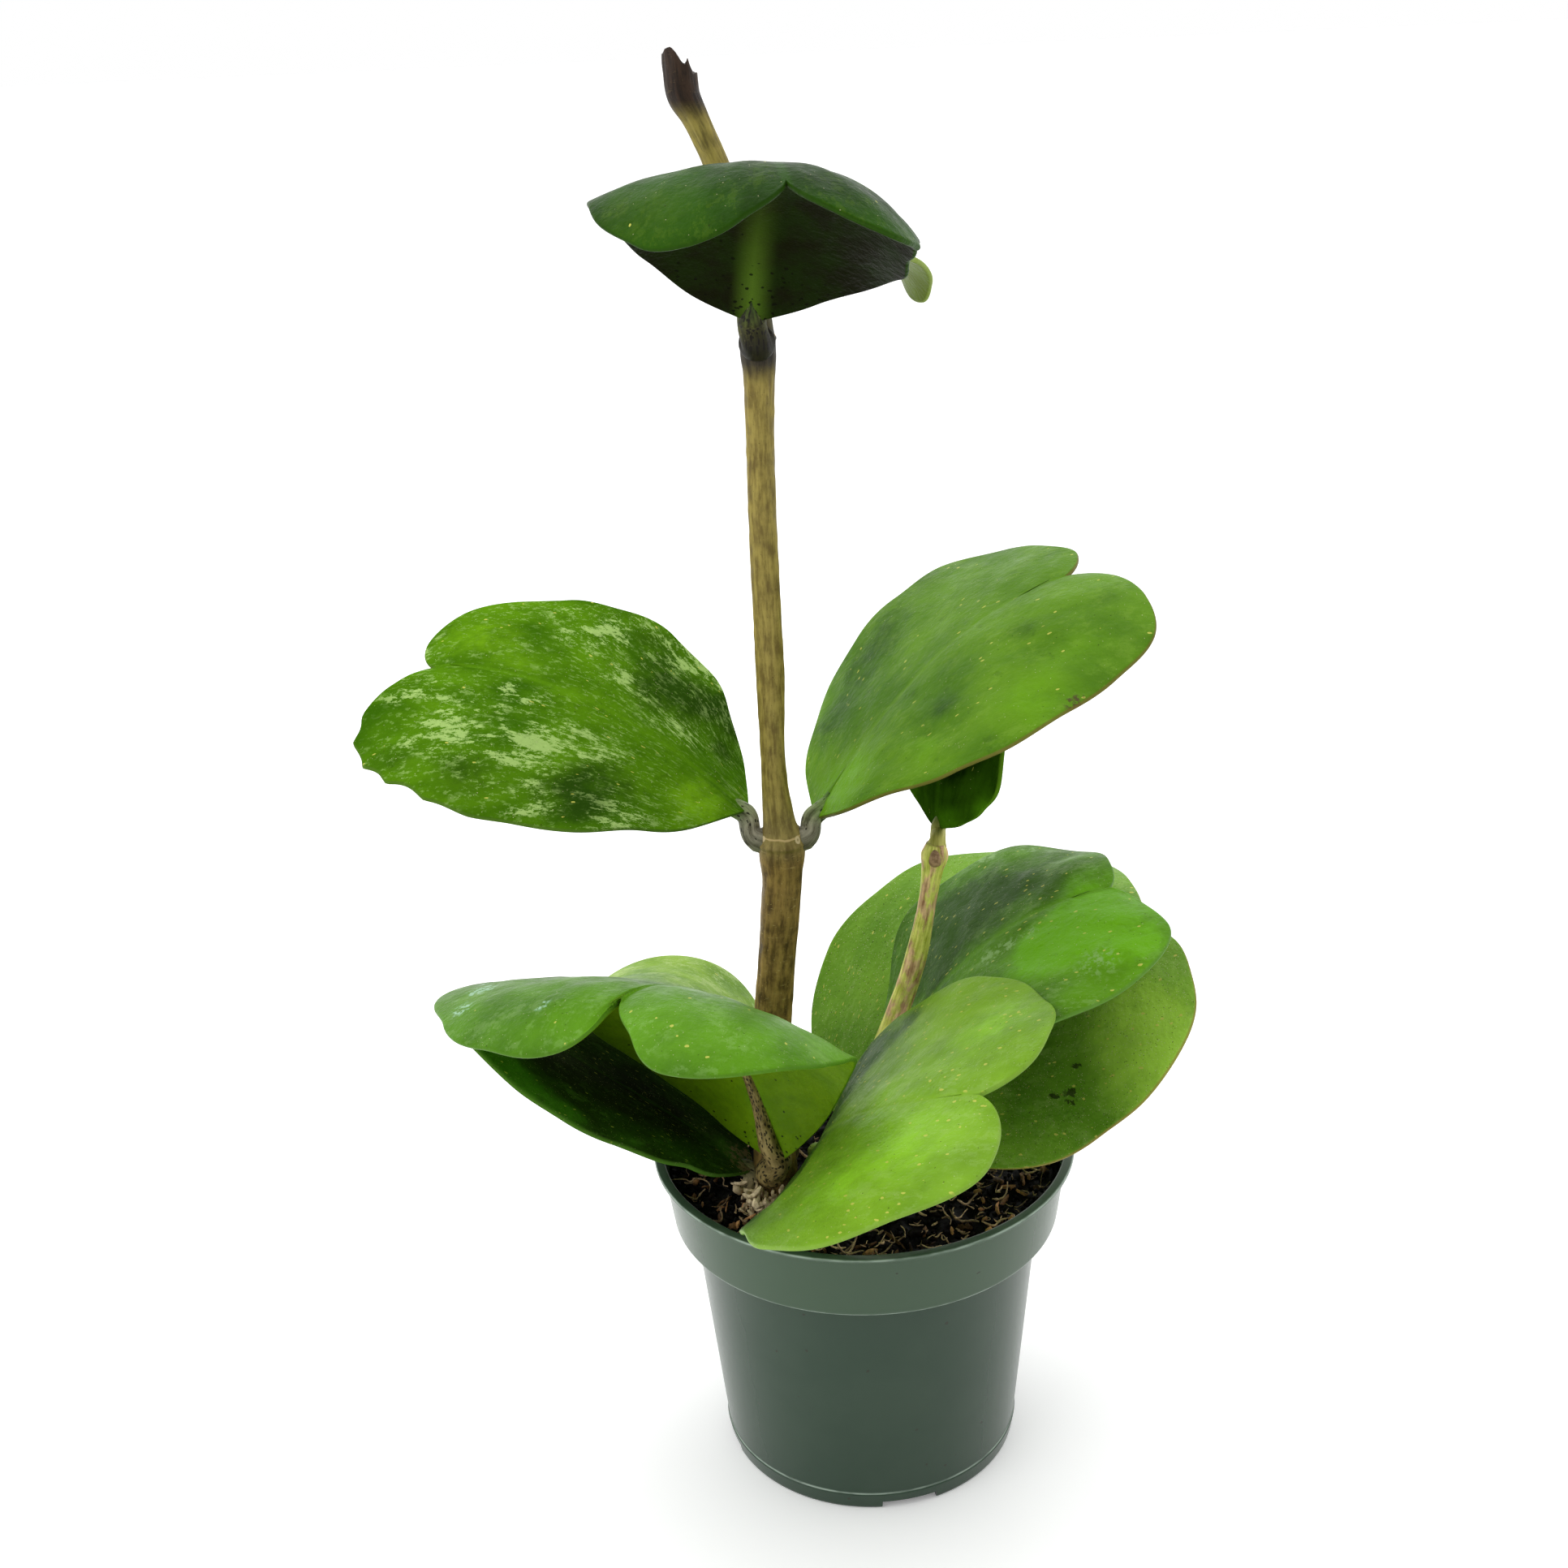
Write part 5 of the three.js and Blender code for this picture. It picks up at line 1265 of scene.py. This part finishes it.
# In each leaf: cup, the angles at the left base and tip and at the right base and tip; wave, its height,
# count and phase; stalk, its stem, height, azimuth and radius; scallops, their side, start, end, depth and
# count; margin, its offsets on the right and on the left; stalk_skin, its dark and pale colours, dashes,
# dark foot, and how far up the blade it turns green; painted_light_and_tone_marks (the leaf's own tone,
# and painted shade and painted light), stains_and_sheens (real stains, and painted sheen) and flecks, the
# place across and along, size and amount of each.
LEAVES = {
    "leaf_top_front": dict(
        slot="leaf_deep_green", base=(-18.5, -19.5, 289), turn=(-85, 54, 12), bend=(104, 1.9, -16, -5),
        cup=(-11, -86, -23, -38), form=(82, 70.5, 0.15, 0.6, -0.02, 1), wave=(0.6, 5, 0),
        stalk=(MAIN_STEM, 283.5, -92, 3), rib=0.35,
        margin=((1, 0, -1.5, -1.5, -1.5, -0.5, -1.5, -3.5, -3), (1, 2, 1, -3, -5, -5, -2, -1.5, -1.5)),
        colours=("#183005", "#2a5009", "#5c7c24", "#122606", "#4a2f2a", "#5f7d24", "#121306", "#24400c"),
        amounts=(0.2, 0.06, 0.2, 0.03, 0.9), wax=0.03, stalk_skin=("#24250f", "#56562a", 1, 0.9, 0.05),
        bumps=0.3,
        painted_light_and_tone_marks=[(0.6, 0.75, 16, 0.3), (0.35, 0.6, 12, -0.4), (-0.3, 0.8, 14, -0.5)],
    ),
    "leaf_top_back": dict(
        slot="leaf_mid_green", base=(-17.5, -6.5, 288.5), turn=(86, 34, 10), bend=(75, 1.5, 18, -26),
        cup=(18, -19, 11, -79), form=(77, 75.5, 0.12, 0.62, -0.03, 0.9), wave=(0.6, 4, 1),
        stalk=(MAIN_STEM, 284.5, 85, 2),
        margin=((0, -0.5, -1, -1.5, -1, 0.5, 0.5, 0.5, 0), (0, 0, 0, 0, 0, 0, 0, 0, 0)),
        colours=("#6c8426", "#8fa640", "#8dbb32", "#1b300a", "#4a2f2a", "#aabc44", "#5e6e22", "#86984a"),
        amounts=(0.2, 0.04, 0.15, 0.02, 0), wax=0.06, stalk_skin=("#3a3320", "#7d7446", 0.1, 0, 0.02),
        bumps=0.3,
    ),
    "leaf_mid_left": dict(
        slot="leaf_mottled", base=(-25.5, -9.5, 177), turn=(167, 42, 9), bend=(53, 1.4, 1, 0),
        cup=(-11, -15, 2, -4), form=(91, 96.5, 0.1, 0.61, 0, 1), wave=(1.2, 7, 0.6),
        stalk=(MAIN_STEM, 169.5, 172, 2.4), stalk_rise=20, scallops=(-1, 0.46, 0.82, 1.5, 5),
        margin=((1, -1.5, 0.5, -0.5, -4.5, -1, 0.5, -1, 1.5), (0, -0.5, 1, -0.5, 2, 1, -0.5, -3, -3.5)),
        colours=("#335c08", "#568410", "#76a818", "#24400c", "#4a2f2a", "#a8c674", "#274104", "#4f6c28"),
        amounts=(0.95, 0.1, 0.3, 0.05, 0), wax=0, stalk_skin=("#55503c", "#b5b198", 0.25, 0.3, 0.02),
        bumps=0.55,
        painted_light_and_tone_marks=[(0.42, 0.33, 11, -1), (0.55, 0.15, 9, -0.7), (0.75, 0.45, 8, -0.5),
                 (0.25, 0.12, 5, -0.5), (-0.65, 0.35, 10, -0.8), (-0.4, 0.3, 7, -0.5),
                 (-0.8, 0.6, 8, -0.5), (-0.85, 0.8, 8, -0.4), (-0.2, 0.1, 9, 0.6), (0.3, 0.85, 12, 0.5),
                 (0, 0.5, 8, 0.3), (0.1, 0.68, 8, 0.3)],
        flecks=[(0.55, 0.22, 7, 0.9), (0.8, 0.35, 7, 0.8), (0.65, 0.6, 9, 0.7), (0.3, 0.45, 6, 0.8),
                (0.15, 0.25, 5, 0.7), (-0.5, 0.5, 8, 1), (-0.35, 0.4, 6, 0.8), (-0.55, 0.72, 7, 1),
                (-0.75, 0.45, 6, 0.8), (-0.6, 0.25, 6, 0.7), (-0.2, 0.65, 6, 0.6), (0.2, 0.95, 6, 0.3),
                (-0.3, 0.85, 6, 0.4)],
    ),
    "leaf_mid_right": dict(
        slot="leaf_mid_green", base=(-9.5, -10, 175.5), turn=(25, 49, 10.5), bend=(40.5, 1.7, 3, 0),
        cup=(6, 1, -6, -34), form=(90, 95.5, 0.1, 0.61, -0.01, 1), wave=(0.9, 6, 2),
        stalk=(MAIN_STEM, 169.5, 8, 2.4), stalk_rise=20,
        margin=((1, -0.5, 0, 2, 0.5, 0.5, 2, -0.5, 0), (0.5, -1.5, 0, -2.5, -2.5, 3, 0, -2.5, 1)),
        colours=("#436c10", "#5f8a1c", "#669a14", "#284a10", "#4a2f2a", "#9cbf50", "#2e4a07", "#6f6232"),
        amounts=(0.12, 0.12, 0.3, 0.04, 0), wax=0.03, stalk_skin=("#55503c", "#b5b198", 0.35, 0.3, 0.02),
        bumps=0.35,
        painted_light_and_tone_marks=[(-0.42, 0.22, 9, -0.6), (-0.6, 0.4, 11, -0.6), (-0.75, 0.55, 10, -0.4),
                 (-0.95, 0.72, 9, -0.4), (0.42, 0.4, 6, -0.6), (0.38, 0.7, 6, -0.45),
                 (0.02, 0.55, 4, -0.4), (0.18, 0.5, 4, -0.35), (0.5, 0.9, 4, -0.4), (0.45, 0.22, 4, -0.3),
                 (0.1, 0.1, 11, 0.9), (0.5, 0.3, 6, 0.5), (0.85, 0.55, 11, 0.5), (0.7, 0.75, 9, 0.3)],
        stains_and_sheens=[(1, 0.62, 3.5, 0.6)],
    ),
    "leaf_side_tip": dict(
        slot="leaf_deep_green", base=(19.5, -2.5, 168), turn=(68, 81, 38), bend=(109, 1.6, -3, 20),
        cup=(9, 15, 8, 31), form=(58, 59.5, 0.12, 0.6, 0, 1.1), wave=(0.5, 4, 0),
        stalk=(SIDE_STEM, 162.5, 35, 1.8), stalk_rise=75,
        margin=((1, 2, 4, 1, 0, 0, 0, 0, 0), (-1, -1.5, -1, -0.5, 0, 0, 0, 0, 0)),
        colours=("#203f06", "#3a620c", "#4c8010", "#102404", "#4a2f2a", "#507a21", "#0a1d02", "#5a821c"),
        amounts=(0.05, 0.04, 0.1, 0.02, 0), wax=0, stalk_skin=("#9f9c44", "#e0da7c", 0, 0, 0.02),
        bumps=0.25,
        # painted shadow of the mid right leaf over its middle, and painted light near its base
        painted_light_and_tone_marks=[(0.1, 0.3, 9, -0.9), (0.4, 0.42, 10, -0.8), (0.2, 0.04, 8, 0.6), (0.75, 0.14, 6, 0.8),
                 (-0.4, 0.1, 5, 0.5)],
    ),
    "leaf_left_arched": dict(
        slot="leaf_mid_green", base=(-21, -24.5, 94.5), turn=(-164, 78, -40), bend=(105, 1.7, -5, 1),
        cup=(-15, -26, -14, -11), form=(103, 92, 0.19, 0.67, -0.03, 0.8), wave=(1, 6, 1),
        stalk=(MAIN_STEM, 84, -108, 3), stalk_rise=50,
        margin=((1.5, 3.5, 2.5, 1, 5, 8.5, 3.5, 3.5, 8), (0, -0.5, -0.5, 0, 0.5, 1.5, 1.5, 1.5, -2.5)),
        colours=("#3d690b", "#5b9014", "#62981a", "#24470d", "#a6d0b0", "#9cbf74", "#70960f", "#4f7a22"),
        amounts=(0.2, 0.14, 0.1, 0.06, 0.3), wax=0.06, stalk_skin=("#6e5e34", "#b8a26a", 1, 0, 0.32),
        bumps=0.35,
        # painted light on the top of the right lobe and on the left lobe, and painted shade low on the right
        # lobe and by the midrib; the stains are a real pale residue
        painted_light_and_tone_marks=[(0.5, 0.8, 12, 0.4), (0.35, 0.7, 9, 0.4), (-0.6, 0.6, 14, 0.4), (0.75, 0.55, 9, -0.4),
                 (0.2, 0.5, 9, -0.3)],
        stains_and_sheens=[(0.85, 0.8, 4, 0.8), (0.95, 0.72, 3, 0.8), (0.8, 0.9, 3, 0.7), (0.3, 0.9, 2, 0.6)],
    ),
    "leaf_left_low": dict(
        slot="leaf_deep_green", base=(-28, -17.5, 87), turn=(167, 34, -14), bend=(4, 1.5, -10, -18),
        cup=(9, -21, 2, 1), form=(83.5, 91.5, 0.09, 0.63, -0.02, 1), wave=(0.9, 5, 2),
        stalk=(MAIN_STEM, 81.5, 190, 2.2),
        margin=((0.5, 1, -3.5, -2.5, 0, 0.5, -1.5, -4.5, -3), (-1, -1, 1.5, -1, -1, 1, 0.5, 0, 0)),
        colours=("#2c3c18", "#3a5820", "#4f8424", "#2c3022", "#8a7a58", "#6f9a4a", "#1f3d0c", "#466c22"),
        amounts=(0.3, 0.3, 0.3, 0.2, 0), wax=0, stalk_skin=("#6c6044", "#b8a880", 0.3, 0, 0.02),
        bumps=0.35,
        # painted shadow of the arched leaf above over the middle, and painted light along the left margin and
        # at the base
        painted_light_and_tone_marks=[(-0.3, 0.5, 17, -0.9), (-0.1, 0.3, 12, -0.7), (-0.45, 0.68, 12, -0.6),
                 (0.3, 0.4, 14, -0.6), (-0.95, 0.8, 10, 1.2), (-0.8, 0.92, 9, 1), (-0.9, 0.6, 7, 0.7),
                 (-0.8, 0.4, 7, 0.5), (0, 0.1, 6, 0.7)],
        stains_and_sheens=[(0, 0.02, 6, 1)],
    ),
    "leaf_left_back": dict(
        slot="leaf_mottled", base=(-18.5, -5, 87), turn=(126, 45.5, -44), bend=(106, 2, -2.5, 2.5),
        cup=(23, -15, -6, 33), form=(81, 77, 0.12, 0.63, 0, 0.9), wave=(0.7, 5, 0),
        stalk=(MAIN_STEM, 83.5, 75, 2),
        margin=((0, 0, 0, 0, 0.5, 0, 0, 0, 0), (0, 0, 0, 0, 0, 0, 0, 0, 0)),
        colours=("#527c1b", "#86aa36", "#8dbb32", "#1b300a", "#4a2f2a", "#b9cc8c", "#395613", "#9db440"),
        amounts=(0.5, 0.06, 0.2, 0.04, 0), wax=0.06, stalk_skin=("#3a3320", "#7d7446", 0.1, 0, 0.02),
        bumps=0.35,
    ),
    "leaf_right_front": dict(
        slot="leaf_deep_green", base=(6, -2, 106.5), turn=(-11.5, 57.5, -20), bend=(56, 1.6, -3.5, 8),
        cup=(19, -31, 18, -8), form=(78.5, 85, 0.08, 0.6, 0.01, 1.1), wave=(0.9, 7, 1),
        stalk=(SIDE_STEM, 104.5, 50, 2),
        margin=((0, 0, -0.5, -0.5, -0.5, 0.5, 0, 0, -0.5), (0, 0, 0, -1, -1, 0, -0.5, -2, -1.5)),
        colours=("#3c620e", "#5c9018", "#6aac14", "#305014", "#88ae66", "#a4c47c", "#2b480a", "#5a8434"),
        amounts=(0.2, 0.35, 0.2, 0.06, 0), wax=0.05, stalk_skin=("#3a3320", "#7d7446", 0.1, 0, 0.02),
        bumps=0.85,
        # painted shade over the left half and painted light on the right lobe; the stains are a painted sheen
        # along the midrib, on the right lobe and at the left rim
        painted_light_and_tone_marks=[(-0.5, 0.45, 16, -0.9), (-0.35, 0.65, 12, -0.6), (-0.2, 0.3, 12, -0.7),
                 (0.35, 0.68, 10, 1.1), (0.3, 0.85, 13, 0.9), (0.7, 0.9, 9, 0.6), (-0.1, 0.85, 9, 0.4)],
        stains_and_sheens=[(0.12, 0.5, 3, 0.6), (0.14, 0.57, 3, 0.6), (0.15, 0.65, 2.5, 0.5), (0.68, 0.78, 7, 0.45),
                (-0.95, 0.6, 5, 0.6), (-0.85, 0.75, 5, 0.4)],
    ),
    "leaf_right_back": dict(
        slot="leaf_deep_green", base=(-4.5, 0.5, 86), turn=(18, 49, -16), bend=(40, 1.5, 23, 11),
        cup=(17, -20, -9, -20), form=(96.5, 107.5, 0.05, 0.6, -0.01, 1.1), wave=(0.9, 6, 0),
        stalk=(SIDE_STEM, 86, 85, 2.2),
        margin=((0, -0.5, -0.5, -0.5, -0.5, 0.5, 0, 0.5, 2), (1.5, 2, 1, -0.5, 2.5, 0.5, -0.5, -0.5, 0)),
        colours=("#56841e", "#75a22e", "#9ccb42", "#3a6214", "#17130b", "#b5d07c", "#3e5d13", "#86703a"),
        amounts=(0.15, 0.35, 0.1, 0.5, 0), wax=0.06, stalk_skin=("#3a3320", "#7d7446", 0.1, 0, 0.02),
        bumps=0.4,
        # painted light on the right lobe and low in the middle, painted shadow of the front right leaf across
        # the middle, and painted shade at the left; the stains are real crumbs of mix
        painted_light_and_tone_marks=[(0.75, 0.8, 19, 0.75), (0.95, 0.95, 12, 0.5), (0.5, 0.88, 10, 0.3),
                 (0.62, 0.46, 15, -0.4), (0.3, 0.6, 14, -0.3), (-0.5, 0.15, 14, -0.3),
                 (0.45, 0.2, 14, 0.4)],
        stains_and_sheens=[(0.74, 0.57, 1.7, 1.2), (0.7, 0.52, 1.2, 1.2), (0.78, 0.55, 1, 1.2), (0.6, 0.5, 0.9, 1.1),
                (0.66, 0.62, 0.8, 1.1)],
    ),
    "leaf_front": dict(
        slot="leaf_lime", base=(-12, -13, 88.5), turn=(-87, 39, -63), bend=(54, 1.5, -19, 30),
        cup=(7, -21, 45, -7), form=(98.5, 86, 0.1, 0.61, 0.01, 0.9), wave=(0.9, 6, 2.5),
        stalk=(SIDE_STEM, 84, -125, 2.2),
        margin=((0, -1, -2.5, -4, -1, 1, -1, -0.5, 0), (-1.5, -4, 0.5, 1, 1, 3, 1.5, 1, 2.5)),
        colours=("#5f871b", "#7eaa2b", "#8cc42c", "#2c5010", "#6e5c38", "#b4cc84", "#4c760e", "#7a9f38"),
        amounts=(0.15, 0.6, 0.1, 0.08, 0), wax=0.06, stalk_skin=("#3a3320", "#7d7446", 0.1, 0, 0.02),
        bumps=0.45,
        painted_light_and_tone_marks=[(0.9, 0.36, 12, -1), (0.6, 0.22, 15, -1), (0.2, 0.2, 12, -0.9), (-0.2, 0.2, 12, -1),
                 (-0.5, 0.28, 9, -0.9), (-0.72, 0.38, 6, -0.6), (0.3, 0.8, 15, 0.6),
                 (-0.6, 0.8, 14, 0.55), (0.6, 0.65, 12, 0.5), (0, 0.6, 9, 0.4)],
        stains_and_sheens=[(0.98, 0.4, 4, 0.7)],
    ),
}


def make_leaves():
    """Makes each leaf of the table, with a seed of its own."""
    for seed, (name, leaf) in enumerate(LEAVES.items(), FIRST_LEAF_SEED):
        for group, labels in LEAF_GROUPS.items():
            leaf.update(zip(labels, leaf[group]))
        make_leaf(name, leaf, seed)


make_leaves()


# The table top, the light and the camera
#
# A wide pale table under a large soft light from above, with a second one from the left, and a camera
# at the height of the plant's tip that looks down at the pot.

FLOOR_REACH = 20.0
CAMERA_PLACE = (-0.016, -0.421, 0.3454)
CAMERA_TURN = (68.4818, 2.2980, -0.9057)
CAMERA_LENS = 44.72
ROOM_FRONT = 0.4
ROOM_BACK = 1.4


def make_floor():
    """A flat grid at height 0, and its matt near-white finish."""
    side = np.linspace(-FLOOR_REACH, FLOOR_REACH, 9) / MM
    x, y = np.meshgrid(side, side)
    points = np.stack([x, y, np.zeros_like(x)], -1).reshape(-1, 3)
    mesh = new_mesh("table_top", points, [grid_faces(9, 9)])
    floor = new_object("table_top", mesh)
    material, tree, shader = new_material("table_white", Roughness=0.6, Specular_IOR_Level=0.2,
                                          Emission_Color=(1.0, 1.0, 1.0, 1.0), Emission_Strength=0.18)
    cloud = noise(tree, object_place(tree), 3.0)
    attach(tree, shader, mix(tree, rise(tree, cloud, 0.3, 0.7), "#fbfbfb", "#fdfdfd"))
    mesh.materials.append(material)


def soft_light(name, place, turn, size, power):
    """One square soft light; turn is in degrees."""
    light = bpy.data.lights.new(name, "AREA")
    light.size = size
    light.energy = power
    lamp = new_object(name, light)
    lamp.location = place
    lamp.rotation_euler = np.radians(turn)


def make_camera():
    """The camera at the place and turn that fit the pot's rim and sides."""
    camera = bpy.data.cameras.new("camera")
    camera.lens = CAMERA_LENS
    camera.sensor_width = 36.0
    camera.clip_start = 0.01
    camera.clip_end = 60.0
    view = new_object("camera", camera)
    view.location = CAMERA_PLACE
    view.rotation_euler = np.radians(CAMERA_TURN)
    bpy.context.scene.camera = view


def make_room():
    """A white room. The camera sees plain white behind the table; as light, the room is bright behind
    and above the plant and falls to a third of that towards the camera, which makes the front of the
    pot dark."""
    world = bpy.data.worlds.new("room")
    world.use_nodes = True
    tree = world.node_tree
    backdrop = tree.nodes["Background"]
    brightness = rise(tree, parted(tree, object_place(tree))["Y"], -0.75, 0.15, ROOM_FRONT, ROOM_BACK)
    seen = node(tree, "ShaderNodeLightPath").outputs["Is Camera Ray"]
    tree.links.new(mix(tree, seen, brightness, (1.0, 1.0, 1.0, 1.0)), backdrop.inputs["Color"])
    bpy.context.scene.world = world


make_floor()
soft_light("sky_light", (-0.2, 0.15, 1.4), (-6, -8, 0), 1.6, 7)
soft_light("window_light", (-0.9, -0.7, 0.9), (56, 0, -52), 0.8, 4)
make_camera()
make_room()
bpy.context.scene.view_settings.view_transform = "Standard"
